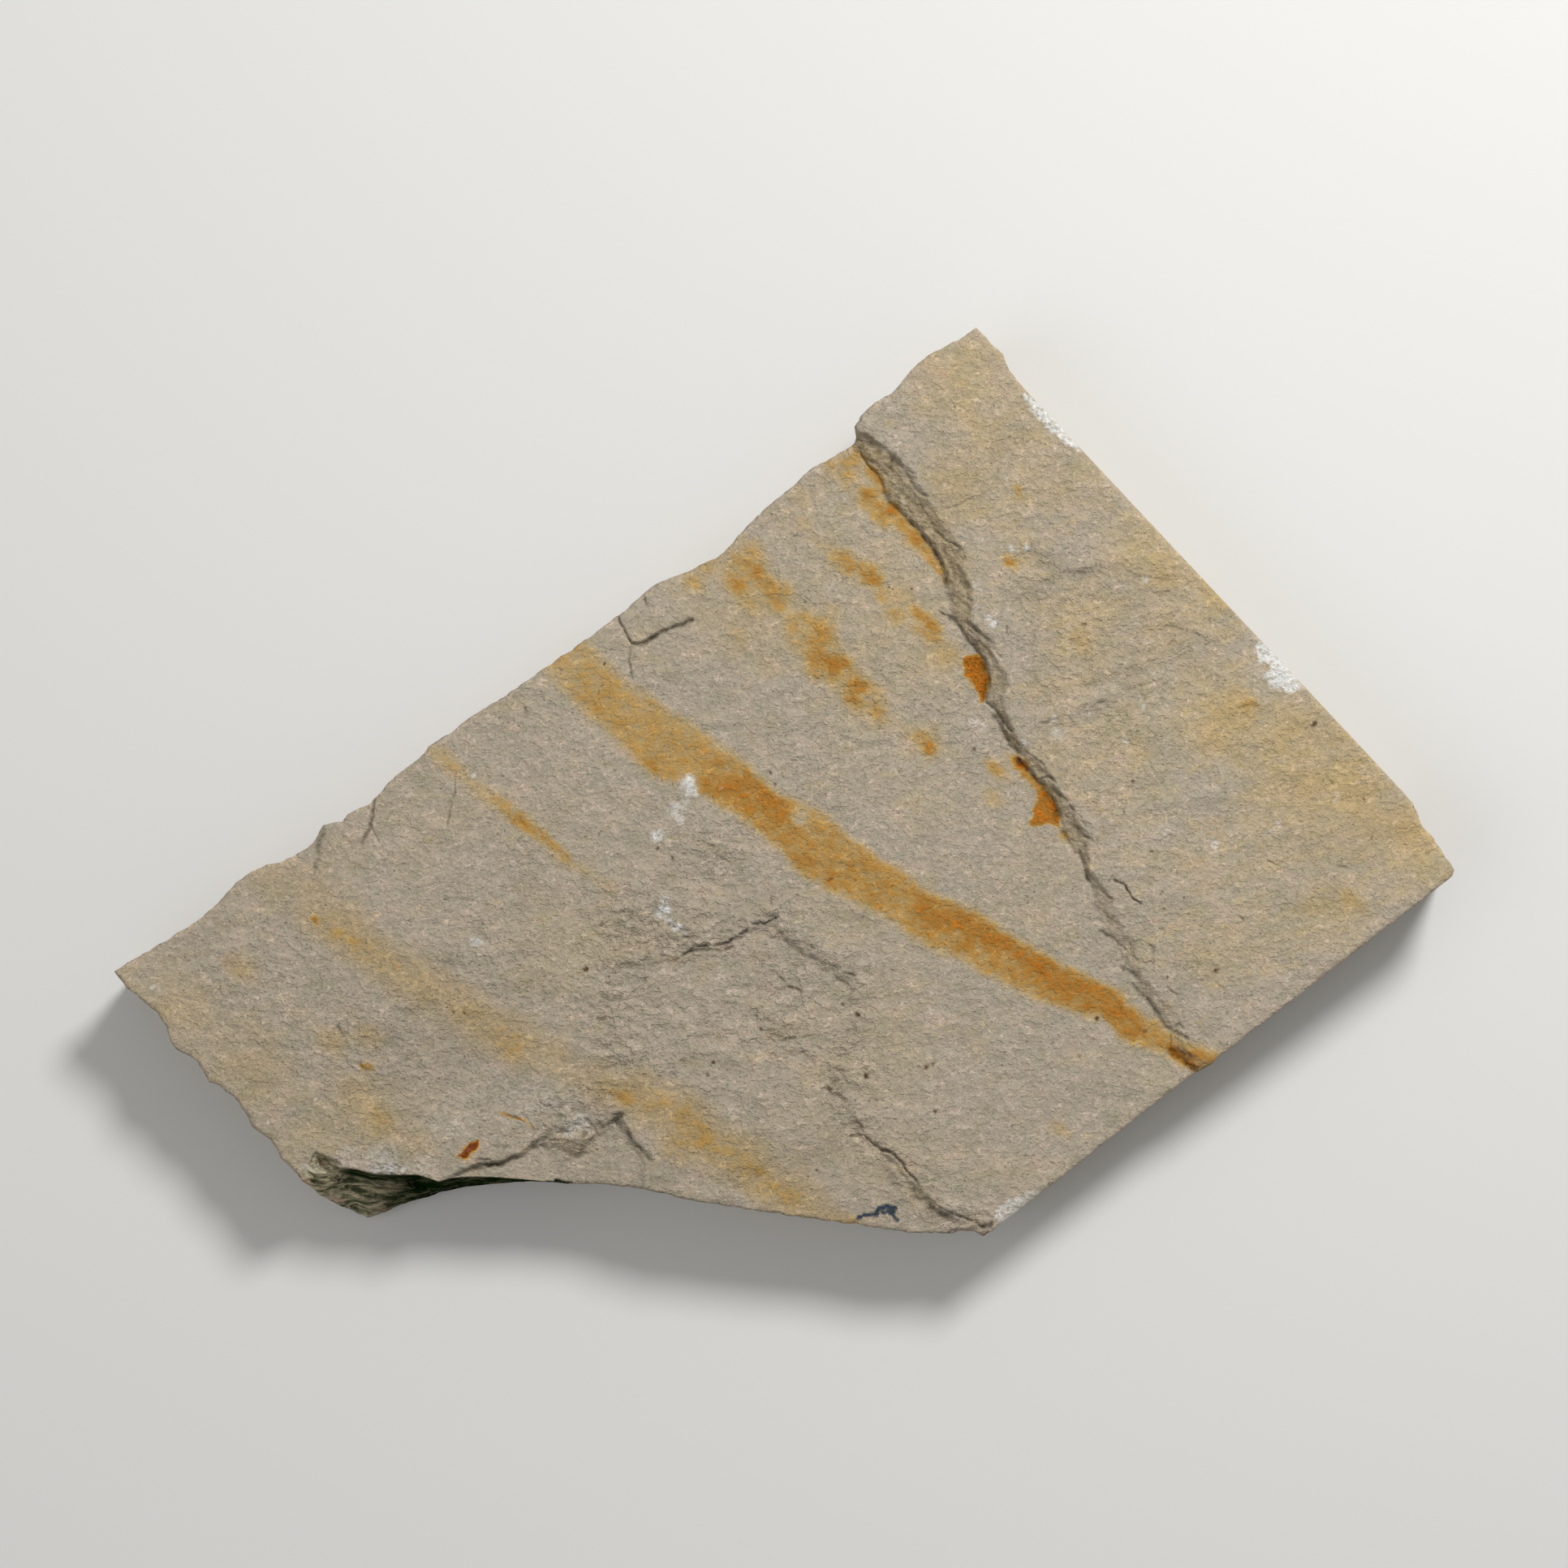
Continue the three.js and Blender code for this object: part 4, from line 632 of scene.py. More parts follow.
# Bleached bruises and chips: place, radius in grid steps and strength
WHITE_SPOTS = [
    ((849, 966), 9, 1.15), ((853, 973), 7, 1.0), ((846, 982), 8, 0.4), ((836, 996), 10, 0.4),
    ((828, 1003), 8, 0.4), ((838, 1010), 6, 0.6), ((809, 1031), 7, 0.85), ((819, 1108), 4, 0.8),
    ((818, 1120), 7, 1.35), ((813, 1125), 6, 0.9), ((824, 1135), 5, 0.7), ((833, 1144), 6, 0.85),
    ((844, 1147), 5, 0.5), ((587, 1160), 6, 0.6), ((188, 1217), 3, 0.8), ((583, 955), 3, 1.0),
    ((1218, 763), 3.5, 1.1), ((1223, 770), 3, 0.9), ((1204, 724), 8, 0.35), ((705, 1388), 12, 0.42),
    ((716, 1384), 10, 0.42), ((700, 1394), 10, 0.4), ((725, 1388), 8, 0.35), ((560, 1385), 40, 0.16),
    ((600, 1350), 50, 0.12), ((565, 1395), 20, 0.2), ((650, 1360), 30, 0.15), ((690, 1350), 30, 0.15),
    ((470, 1428), 22, 0.3), ((520, 1434), 20, 0.25), ((430, 1425), 18, 0.25), ((480, 1440), 9, 0.6),
    ((495, 1441), 6, 0.5), ((376, 1440), 6, 0.35), ((388, 1441), 6, 0.3), ((397, 1445), 5, 0.25),
    ((463, 1440), 5, 0.5), ((1246, 677), 4, 0.7), ((1266, 675), 4, 0.8), ((1410, 714), 4, 0.5),
    ((1409, 790), 4, 0.5), ((1376, 887), 3, 0.7), ((1386, 912), 3.5, 0.7), ((1405, 860), 3, 0.5),
    ((1406, 870), 3, 0.5), ((1302, 905), 9, 0.35), ((1425, 1026), 24, 0.14), ((1444, 1012), 8, 0.2),
    ((1436, 1024), 5, 0.3), ((1496, 1040), 4, 0.6), ((1494, 1047), 3, 0.5), ((1573, 1016), 4, 0.5),
    ((1566, 1024), 3, 0.4), ((1646, 987), 3.5, 0.5), ((1644, 978), 3, 0.4), ((1362, 1025), 3, 0.4),
    ((1345, 880), 5, 0.25), ((1260, 917), 4, 0.7), ((1298, 885), 4, 0.5), ((1200, 890), 7, 0.4),
    ((1212, 896), 6, 0.35), ((985, 1014), 6, 0.25), ((888, 970), 3, 0.4),
]
# The stone that shows through the white chip on the right edge
CHIP_HOLE = [((1556, 823), 7, 0.95)]
# White chips along the sawn edges: the places of each, with its half width in grid steps and its strength
WHITE_CHIPS = [
    [((1262, 486), 2, 1), ((1275, 503), 8, 1), ((1295, 523), 9, 1), ((1318, 547), 5, 1), ((1330, 556), 1, 1)],
    [((1550, 795), 4, 1), ((1562, 812), 17, 1.2), ((1578, 830), 22, 1.3), ((1592, 842), 14, 1.2),
        ((1602, 845), 2, 1)],
    [((1236, 1498), 12, 0.55), ((1250, 1487), 12, 0.55), ((1268, 1476), 7, 0.45), ((1280, 1470), 4, 0.3)],
]


# ---------------------------------------------------------------- plan geometry


def plan(points):
    """Grid points as millimetres from the centre of the footprint."""
    grid = np.array(points, float)
    x = (grid[:, 0] - (GRID_LEFT + GRID_RIGHT) / 2) * GRID_STEP
    y = ((GRID_TOP + GRID_BOTTOM) / 2 - grid[:, 1]) * GRID_STEP
    return np.column_stack([x, y])


def columns(*values):
    """X of some columns of the grid."""
    return plan([(value, 0) for value in values])[:, 0]


def closed(ring):
    return np.vstack([ring, ring[:1]])


def nearest(line, points):
    """Distance from each point to a line, and where on the line the nearest place is, counted in corners."""
    best = np.full(len(points), np.inf)
    at = np.zeros(len(points))
    for i in range(len(line) - 1):
        along = line[i + 1] - line[i]
        share = np.clip(((points - line[i]) @ along) / (along @ along), 0, 1)
        away = points - line[i] - share[:, None] * along
        distance = np.hypot(away[:, 0], away[:, 1])
        closer = distance < best
        best[closer] = distance[closer]
        at[closer] = i + share[closer]
    return best, at


def distance_to(line, points):
    return nearest(line, points)[0]


def away_from(place, points):
    """Distance from each point to one place of the grid."""
    return np.hypot(*(points - plan([place])[0]).T)


def is_inside(polygon, points):
    inside = np.zeros(len(points), bool)
    for last, following in zip(np.roll(polygon, 1, axis=0), polygon):
        if last[1] == following[1]:
            continue
        crosses = (following[1] > points[:, 1]) != (last[1] > points[:, 1])
        slope = (following[0] - last[0]) / (following[1] - last[1])
        inside ^= crosses & (points[:, 0] < last[0] + (points[:, 1] - last[1]) * slope)
    return inside


def signed_distance(polygon, points):
    """Distance to the edge of a polygon, above 0 inside it and below 0 outside."""
    return distance_to(closed(polygon), points) * np.where(is_inside(polygon, points), 1, -1)


def smooth(low, high, values):
    """0 below low, 1 above high, and an eased rise between them. It falls where low is above high."""
    share = np.clip((values - low) / (high - low), 0, 1)
    return share * share * (3 - 2 * share)


# ---------------------------------------------------------------- noise


def gradients(column, row, seed):
    """A direction for each corner of the noise's cells, from whole numbers mixed together."""
    mixed = (column * 374761393 + row * 668265263 + seed * 974634777) & 0xFFFFFFFF
    mixed = ((mixed ^ (mixed >> 13)) * 1274126177) & 0xFFFFFFFF
    return (mixed ^ (mixed >> 16)) / 0xFFFFFFFF * 2 * math.pi


def noise(x, y, seed):
    """Gradient noise from about -1 to 1, with features about one unit across."""
    column, row = np.floor(x).astype(np.int64), np.floor(y).astype(np.int64)
    inside_x, inside_y = x - column, y - row
    ease_x = inside_x**3 * (inside_x * (inside_x * 6 - 15) + 10)
    ease_y = inside_y**3 * (inside_y * (inside_y * 6 - 15) + 10)

    def corner(step_x, step_y):
        angle = gradients(column + step_x, row + step_y, seed)
        return np.cos(angle) * (inside_x - step_x) + np.sin(angle) * (inside_y - step_y)

    low = corner(0, 0) * (1 - ease_x) + corner(1, 0) * ease_x
    high = corner(0, 1) * (1 - ease_x) + corner(1, 1) * ease_x
    return (low * (1 - ease_y) + high * ease_y) * 1.4


def stretched_noise(points, length, width, seed, climb=0.0, octaves=1):
    """Noise stretched to length by width millimetres, its length turned up from X by climb degrees."""
    turn = math.radians(climb)
    along = (points[:, 0] * math.cos(turn) + points[:, 1] * math.sin(turn)) / length
    across = (points[:, 1] * math.cos(turn) - points[:, 0] * math.sin(turn)) / width
    total = np.zeros(len(points))
    for octave in range(octaves):
        total += noise(along * 2**octave, across * 2**octave, seed + octave) / 2**octave
    return total


def rough(name, points):
    height, *shape = NOISE[name]
    return height * stretched_noise(points, *shape)


def uneven(name, points):
    """The points moved about, so that a line measured from them comes out uneven."""
    for reach, size, seed in UNEVEN[name]:
        shift = [stretched_noise(points, size, size, number) for number in (seed, seed + 50)]
        points = points + reach * np.column_stack(shift)
    return points


# ---------------------------------------------------------------- the top surface

BRINK, FOOT = plan(TERRACE_BRINK), plan(TERRACE_FOOT)
ABOVE_BRINK, ABOVE_FOOT = plan(TERRACE_BRINK + BEYOND_RIGHT), plan(TERRACE_FOOT + BEYOND_RIGHT)
FLAKE_SCAR = plan(FLAKE_EDGE + BELOW_FLAKE + FLAKE_FADE[::-1])
CHIP = plan(CHIP_EDGE + BELOW_CHIP)
BROKEN_FACE = plan(BROKEN_RIM + BROKEN_OUTLINE)


def slope_between(near_line, far_line, points):
    """0 on the near line, 1 on the far one, and a straight slope between the two."""
    near = distance_to(near_line, points)
    return near / np.maximum(near + distance_to(far_line, points), 1e-6)


def terrace_share(points):
    """How far up the ledge of the right-hand layer each point lies: 0 on the main surface, 1 on the layer."""
    share = np.where(is_inside(ABOVE_BRINK, points), 1.0, 0.0)
    between = is_inside(ABOVE_FOOT, points) & (share < 1)
    share[between] = slope_between(FOOT, BRINK, points[between])
    return share


def stairs(share, steps, sharpness):
    """A slope broken into steps, each with a tread and a riser."""
    scaled = share * steps
    tread = np.floor(scaled)
    return (tread + smooth(0.5 - sharpness, 0.5 + sharpness, scaled - tread)) / steps


def laminated(share, steps, sharpness):
    """A slope that follows the bedding: treads that wander into each other, with low risers between."""
    return (1 - sharpness) * share + sharpness * stairs(share, steps, 0.2)


def ledge_profile(share):
    """A step at the foot, a rough slope, and a softer step under the brink."""
    return 0.16 * smooth(0, 0.12, share) + 0.68 * share + 0.16 * smooth(0.7, 1, share)


def terrace_height(points):
    """The right-hand layer. Its ledge is lower towards the lower end, where the layer feathers out."""
    share = terrace_share(uneven("ledge", points))
    on_ledge = 4 * share * (1 - share)
    lumps = rough("ledge lump", points) + rough("ledge crumb", points)
    crumbled = np.clip(ledge_profile(share) + on_ledge * lumps, 0, 1)
    down = np.clip((BRINK[0, 1] - points[:, 1]) / (BRINK[0, 1] - BRINK[-1, 1]), 0, 1)
    rise = TERRACE_RISE + (TERRACE_RISE_END - TERRACE_RISE) * down
    thinner = 0.35 + 0.25 * smooth(0.62, 0.8, down)
    feathered = thinner * np.exp(-distance_to(FOOT, points) / TERRACE_FEATHER)
    return rise * (1 - feathered) * laminated(crumbled, 4, 0.28)


def flake_depth(points):
    """The shallow scar of a flake, deepest along its upper edge."""
    moved = uneven("flake", points)
    depth = np.zeros(len(points))
    inside = is_inside(FLAKE_SCAR, moved)
    distance, at = nearest(plan(FLAKE_EDGE), moved[inside])
    shown = np.interp(at, range(len(FLAKE_EDGE)), FLAKE_EDGE_SHARES)
    fade = np.minimum(distance_to(plan(FLAKE_FADE), moved[inside]) / FLAKE_REACH, 1)
    depth[inside] = FLAKE_DEPTH * shown * np.minimum(distance / FLAKE_LIP, 1) * fade
    return depth


def chip_depth(points):
    """The chip in the lower edge. Its sides are steep, but for the crushed stretch between its points."""
    moved = uneven("chip", points)
    depth = np.zeros(len(points))
    inside = is_inside(CHIP, moved)
    moved = moved[inside]
    crushed = np.exp(-((away_from(CRUSHED_PLACE, moved) / CRUSHED_REACH) ** 2))
    share = np.minimum(distance_to(plan(CHIP_EDGE), moved) / (CHIP_WALL + CRUSHED_SLOPE * crushed), 1)
    places, shares = zip(*CHIP_SHARES)
    shown = np.interp(moved[:, 0], columns(*places), shares)
    depth[inside] = CHIP_DEPTH * shown * laminated(share * 0.999, 3, 0.4)
    return depth


def lifted_height(points):
    """The cracked flake on the upper rim, proud at its lower edge and flush towards the rim."""
    moved = uneven("lifted flake", points)
    edge = distance_to(plan(LIFTED_FLAKE[1:5]), moved)
    raised = LIFTED_FLAKE_RISE * smooth(*LIFTED_FLAKE_FALL, edge)
    return np.where(is_inside(plan(LIFTED_FLAKE), moved), raised, 0)


def flaky_height(points):
    """Small flakes that overlap like scales, where the surface is rough."""
    split = stairs((rough("scale", points) + 1) * 0.5, 6, 0.1) * 2 - 1
    return rough_strength(points) * (SCALE_HEIGHT * split + rough("crumb", points))


def relief(points):
    """Swells, ripples and streaks. They run level on the left and climb to the right on the right."""
    climb = -4 + 22 * smooth(5, 30, points[:, 0])
    share = smooth(-4, 18, climb)
    climbing = rough("climbing ripple", uneven("climbing ripple", points))
    ripple = RIPPLE_HEIGHT * (rough("level ripple", points) * (1 - share) + climbing * share)
    streak = rough("level streak", points) * (1 - share) + rough("climbing streak", points) * share
    return rough("swell", points) + ripple + STREAK_HEIGHT * streak


def ridge_height(points):
    total = np.zeros(len(points))
    moved = uneven("ridge", points)
    for line, height, half_width in RIDGES:
        distance, at = nearest(plan(line), moved)
        ends = smooth(0, 0.6, at) * smooth(len(line) - 1, len(line) - 1.6, at)
        total += height * ends * np.exp(-((distance / half_width) ** 2))
    return total


def walk(line, spacing):
    """Points along a line, evenly spaced between its corners, without its last corner."""
    points = []
    for start, end in zip(line[:-1], line[1:]):
        steps = max(1, round(float(np.hypot(*(end - start))) / spacing))
        points += [start + (end - start) * step / steps for step in range(steps)]
    return points


def make_strokes():
    """Each of the cracks and ledge edges as an uneven line in short steps, with its half width, depth and
    darkness, which is partly painted shade.
    """
    strokes = []
    for marks, width_share, dark_share in ((CRACKS_AND_EDGE_SHADE, 1, 1), (LEDGE_EDGE_SHADE, 0.85, 0.75)):
        for half_width, depth, dark, points in marks:
            ends = plan(points)
            line = uneven("stroke", np.array(walk(ends, STROKE_STEP) + [ends[-1]]))
            strokes.append((line, width_share * half_width, depth, dark_share * dark))
    return strokes


STROKES = make_strokes()


def points_beside(line, reach, points):
    """The numbers of the points in the box round a line, widened by reach."""
    low, high = line.min(axis=0) - reach, line.max(axis=0) + reach
    return np.flatnonzero(((points > low) & (points < high)).all(axis=1))


def crack_and_shade_marks(points):
    """How dark and how deep the cracks and the painted edge shade are at each point.
    Each varies in width and fades at its ends.
    """
    dark, deep = np.zeros((2, len(points)))
    for line, half_width, depth, darkness in STROKES:
        near = points_beside(line, 3 * half_width, points)
        if len(near) == 0:
            continue
        here = points[near]
        distance, at = nearest(line, here)
        reach = half_width * (1 + rough("crack width", here))
        ends = smooth(-0.6, 1.5, at) * smooth(len(line) - 0.4, len(line) - 2.5, at)
        gaps = np.clip(1.05 + rough("crack gap", here), 0.6, 1.15)
        share = smooth(1.8 * reach, 0.3 * reach, distance) * (0.5 + 0.5 * ends) * gaps
        dark[near] = np.maximum(dark[near], darkness * share)
        deep[near] = np.maximum(deep[near], depth * share)
    return np.clip(dark, 0, 1), deep


def broken_share(points):
    """Share of the way down the sloping broken corner: 0 on its rim, 1 at its foot."""
    outline = plan(BROKEN_OUTLINE)
    ends = np.minimum(*(np.hypot(*(points - outline[end]).T) for end in (0, -1)))
    share = np.zeros(len(points))
    inside = is_inside(BROKEN_FACE, points)
    share[inside] = slope_between(plan(BROKEN_RIM), outline, points[inside])
    share[distance_to(outline, points) < 0.3] = 1
    return share * np.clip(ends / CORNER_TAPER, 0, 1)


def corner_profile(points, share):
    """A drop under the rim, apart from its left end, then a slope of thin beds down to the foot."""
    beds = rough("corner bed", uneven("corner bed", points))
    bedded = np.clip(share + beds * smooth(0, 0.2, share), 0, 1)
    drop = CORNER_DROP * smooth(*columns(400, 432), points[:, 0])
    return drop * smooth(0, 0.14, share) + (1 - drop) * laminated(bedded, 4, 0.3)


def surface_height(points):
    layers = terrace_height(points) - flake_depth(points) - chip_depth(points) + lifted_height(points)
    fine = relief(points) + ridge_height(points) + flaky_height(points) - crack_and_shade_marks(points)[1]
    height = THICKNESS + layers + fine
    down = corner_profile(points, broken_share(points))
    return np.minimum(height + (BROKEN_FOOT - height) * down, TOP_LIMIT)


# ---------------------------------------------------------------- the mesh


def make_rim():
    """The rim as evenly spaced points, with 1 for each that is broken and 0 for each that is sawn."""
    rim, broken = [], []
    start = UPPER_EDGE[0]
    for points, is_broken in SIDES:
        walked = walk(plan([start] + [point for point in points if point != start]), RIM_SPACING)
        rim += walked
        broken += [float(is_broken)] * len(walked)
        start = points[-1]
    return np.array(rim), np.array(broken)


def around(values, reach):
    """The mean of each value and its neighbours on a closed ring."""
    return np.mean([np.roll(values, shift, axis=0) for shift in range(-reach, reach + 1)], axis=0)


def inward_directions(rim, reach=11):
    along = np.roll(rim, -reach, axis=0) - np.roll(rim, reach, axis=0)
    turned = np.column_stack([along[:, 1], -along[:, 0]])
    return turned / np.hypot(turned[:, 0], turned[:, 1])[:, None]


def roughen_rim(rim, broken):
    """Small bites along the broken sides. They only go inwards, so the outline keeps its size."""
    bites = np.abs(rough("bite", rim)) + np.abs(rough("small bite", rim))
    depth = bites * around(broken, 2) + np.abs(rough("nick", rim)) * (1 - around(broken, 2))
    depth *= 1 - 0.7 * smooth(3, 0.5, distance_to(plan(BROKEN_OUTLINE[:3]), rim))
    return rim + inward_directions(rim) * depth[:, None]


def rim_distance(rim, reach, points):
    """Distance to the rim within about reach of it, and a large number elsewhere."""
    distance = np.full(len(points), FAR)
    close = distance_to(plan([corner for side, _ in SIDES for corner in side]), points) < reach
    distance[close] = distance_to(closed(rim), points[close])
    return distance


def depth_inside(rim, points):
    """Distance in from the rim, below 0 outside it."""
    distance = rim_distance(rim, 1.6, points)
    return np.where(is_inside(rim, points), distance, -distance)


def needs_detail(points):
    """True where ledges, cracks, painted edge shade, the painted shadow in the small chip scar, flecks,
    chips or small stains need the fine spacing.
    """
    share = terrace_share(points)
    wanted = (share > 0) & (share < 1)
    wanted |= is_inside(BROKEN_FACE, points) | (rough_strength(points) > 0.62)
    lines = [(BRINK, 0.5), (FOOT, 0.5), (plan(CHIP_EDGE), 1.3), (plan(BROKEN_RIM), 0.6)]
    lines += [(plan(line), 0.7) for line in CHIP_SCAR_SHADOW]
    lines += [(plan([place for place, _, _ in chip]), 1.2) for chip in WHITE_CHIPS]
    for line, reach in lines:
        wanted |= distance_to(line, points) < reach
    for line, half_width, _, _ in STROKES:
        if half_width > THIN_STROKE:
            near = points_beside(line, 2 * half_width, points)
            wanted[near] |= distance_to(line, points[near]) < 2 * half_width
    spots = [(place, radius + 0.3) for place, radius in FLECKS]
    spots += [(place, radius * GRID_STEP + 0.3) for place, radius, _ in WHITE_SPOTS if radius < FINE_WHITE]
    spots += [(place, 0.6) for place, _, _ in RUST_LINE]
    for place, radius, strength in STAINS:
        if radius < FINE_STAIN and strength > FINE_STAIN_STRENGTH:
            spots.append((place, radius * GRID_STEP))
    for place, reach in spots:
        wanted |= away_from(place, points) < reach
    for outline in (RUST_DROP, RUST_WEDGE, RED_CHIP):
        wanted |= signed_distance(plan(outline), points) > -0.35
    return wanted


def stroke_points(rim):
    """Rows of mesh points along each thin stroke and along the broken corner, well inside the rim."""
    found = []
    for line, half_width, _, _ in STROKES:
        if half_width > THIN_STROKE:
            continue
        along = np.gradient(line, axis=0)
        across = np.column_stack([-along[:, 1], along[:, 0]]) / np.hypot(along[:, 0], along[:, 1])[:, None]
        found += [line + across * half_width * offset for offset in STROKE_ROWS]
    corner = np.array(walk(plan(BROKEN_RIM[5:]), CORNER_SPACING))
    found += [corner + (0, offset) for offset in CORNER_ROWS]
    points = np.vstack(found)
    first = np.unique(np.round(points / STROKE_GAP), axis=0, return_index=True)[1]
    points = points[np.sort(first)]
    return points[depth_inside(rim, points) > STROKE_TO_RIM]


def is_clear_of(others, reach, points):
    """True for the points with none of the others within reach."""
    tree = KDTree(len(others))
    for i, (x, y) in enumerate(others.tolist()):
        tree.insert((x, y, 0), i)
    tree.balance()
    return np.array([tree.find((x, y, 0))[2] > reach for x, y in points.tolist()])


def inner_points(rim):
    """A triangular grid, fine near the rim and at any detail and coarse elsewhere, and the strokes."""
    low, high = rim.min(axis=0), rim.max(axis=0)
    row_height = FINE * math.sqrt(3) / 2
    rows = np.arange(int((high[1] - low[1]) / row_height))
    column, row = np.meshgrid(np.arange(int((high[0] - low[0]) / FINE)), rows)
    x = low[0] + (column + (row % 4) * 0.5) * FINE
    y = low[1] + row * row_height
    points = np.column_stack([x.ravel(), y.ravel()])
    coarse = ((row % COARSE_EVERY == 0) & (column % COARSE_EVERY == 0)).ravel()
    kept = is_inside(rim, points)
    points, coarse = points[kept], coarse[kept]
    depth = depth_inside(rim, points)
    wanted = coarse & (depth > COARSE_TO_RIM)
    wanted |= (depth > GRID_TO_RIM) & ((depth < FINE_RIM_REACH) | needs_detail(points))
    points = points[wanted]
    jitter = [noise(*(points.T * JITTER_FREQUENCY), seed) for seed in JITTER_SEEDS]
    points = points + MESH_JITTER * np.column_stack(jitter)
    strokes = stroke_points(rim)
    return np.vstack([strokes, points[is_clear_of(strokes, STROKE_TO_GRID, points)]])


def fill(ring, inner):
    """Triangles that fill a ring through its inner points. Returns all points and the triangles."""
    every = np.vstack([ring, inner])
    loop = [(i, (i + 1) % len(ring)) for i in range(len(ring))]
    inside_only = 1
    found = delaunay_2d_cdt([Vector(p) for p in every.tolist()], loop, [], inside_only, TOUCHING)
    places, faces, origins = found[0], found[2], found[3]
    order = np.full(len(places), -1)
    for new, old in enumerate(origins):
        if old:
            order[new] = old[0]
    if len(set(order.tolist())) != len(order) or (order < 0).any():
        raise ValueError("the ring crosses itself")
    return every, order[np.array([list(face) for face in faces])]


def wall_inset(rim, share, row):
    """How far in a broken wall stands at one height: it leans in and steps at each layer of the stone."""
    arc = np.arange(len(rim)) * RIM_SPACING

    def wave(name, step):
        along, down, start, slant, seed = WALL_WAVES[name]
        return noise(arc * along + step * slant, np.full(len(rim), step * down + start), seed)

    ledge = wave("ledge", sum(share < low for low in LAYERS)) + 0.5
    beds = 0.5 * np.abs(wave("facet", row)) + 0.3 * wave("bed", row)
    fine = beds + 0.2 * wave("lamina", row) + 0.2 * wave("pit", row)
    stepped = LEDGE_DEPTH * LEDGE_WEAR * ledge * smooth(1, 0.82, share)
    return BROKEN_LEAN * (1 - share) + stepped + fine * smooth(1, 0.9, share)


def wall_rings(rim, heights, broken):
    """Rings of points down the walls, each a share of the height lower than the one before."""
    inward = inward_directions(rim)
    softened = np.minimum(around(broken, 4), smooth(0.35, 1, around(broken, 4)))
    rings = []
    for row in range(1, WALL_ROWS + 1):
        share = 1 - row / WALL_ROWS
        inset = wall_inset(rim, share, row) * softened
        if row == WALL_ROWS:
            inset = inset + ARRIS
        moved = rim + inward * np.maximum(inset, 0)[:, None]
        rings.append(np.column_stack([moved, heights * share]))
    return rings


def base_grid(ring):
    """A triangular grid inside the ring of the underside."""
    low, high = ring.min(axis=0), ring.max(axis=0)
    rows = np.arange(low[1], high[1], BASE_SPACING * math.sqrt(3) / 2)
    x, y = np.meshgrid(np.arange(low[0], high[0], BASE_SPACING), rows)
    x = x + (np.arange(len(rows)) % 2)[:, None] * BASE_SPACING / 2
    points = np.column_stack([x.ravel(), y.ravel()])
    points = points[is_inside(ring, points)]
    return points[distance_to(closed(ring), points) > BASE_TO_RIM]


def base_relief(points, ring):
    """A bedding surface: low undulations, all at or above the plane that the slab lies on."""
    depth = rough("base swell", points) + rough("base crumb", points)
    return np.maximum(depth, 0) * smooth(0, 2, distance_to(closed(ring), points))


def rim_wear(rim, points):
    """How much lower the top is beside the rim, where its edge is worn round."""
    worn = RIM_WEAR + np.abs(rough("rim wear", points))
    worn = worn + 0.25 * np.maximum(rough("worn place", points) - 0.35, 0)
    return worn * RIM_WEAR_DEPTH * (1 - np.clip(rim_distance(rim, 2.2, points) / (0.35 + worn), 0, 1)) ** 2


def make_slab_mesh():
    """The top, the rings of the walls and the underside, as vertices and triangles of one closed mesh."""
    plain_rim, broken = make_rim()
    rim = roughen_rim(plain_rim, broken)
    count = len(rim)
    points, top_faces = fill(rim, inner_points(rim))
    heights = surface_height(points) - rim_wear(rim, points)
    vertices, faces = [np.column_stack([points, heights])], [top_faces]
    above, start = 0, len(points)
    this, following = np.arange(count), (np.arange(count) + 1) % count
    rings = wall_rings(rim, heights[:count], broken)
    for ring in rings:
        vertices.append(ring)
        upper = np.column_stack([above + this, above + following, start + this])
        lower = np.column_stack([above + following, start + following, start + this])
        faces += [upper, lower]
        above, start = start, start + count
    base = rings[-1][:, :2]
    base_points, base_faces = fill(base, base_grid(base))
    inner = base_points[count:]
    vertices.append(np.column_stack([inner, base_relief(inner, base)]))
    numbered = np.where(base_faces < count, above + base_faces, start + base_faces - count)
    faces.append(numbered[:, ::-1])
    return np.vstack(vertices), np.vstack(faces), len(points), broken


# ---------------------------------------------------------------- what each vertex is made of


def band_strength(band, points):
    """Strength of a mark along a line whose half width and strength change from point to point."""
    places, widths, strengths = zip(*band)
    distance, at = nearest(plan(places), points)
    steps = np.arange(len(band))
    half_width = np.interp(at, steps, widths) * GRID_STEP
    return np.interp(at, steps, strengths) * smooth(1.25, 0.55, distance / half_width)


def spot_strength(spots, points, inner=0.3, reach=1.6, stretch=1.0, climb=0.0):
    """Strength of soft marks, joined smoothly where they overlap, and longer than wide if stretched."""
    turn = math.radians(climb)
    along = (math.cos(turn) / stretch, math.sin(turn) / stretch)
    across = (-math.sin(turn) * stretch, math.cos(turn) * stretch)
    axes = np.column_stack([along, across])
    total = np.zeros(len(points))
    for place, radius, strength in spots:
        away = (points - plan([place])[0]) @ axes
        distance = np.hypot(away[:, 0], away[:, 1]) / (radius * GRID_STEP)
        near = distance < reach
        total[near] += (strength * smooth(reach, inner, distance[near])) ** 3
    return total ** (1 / 3)


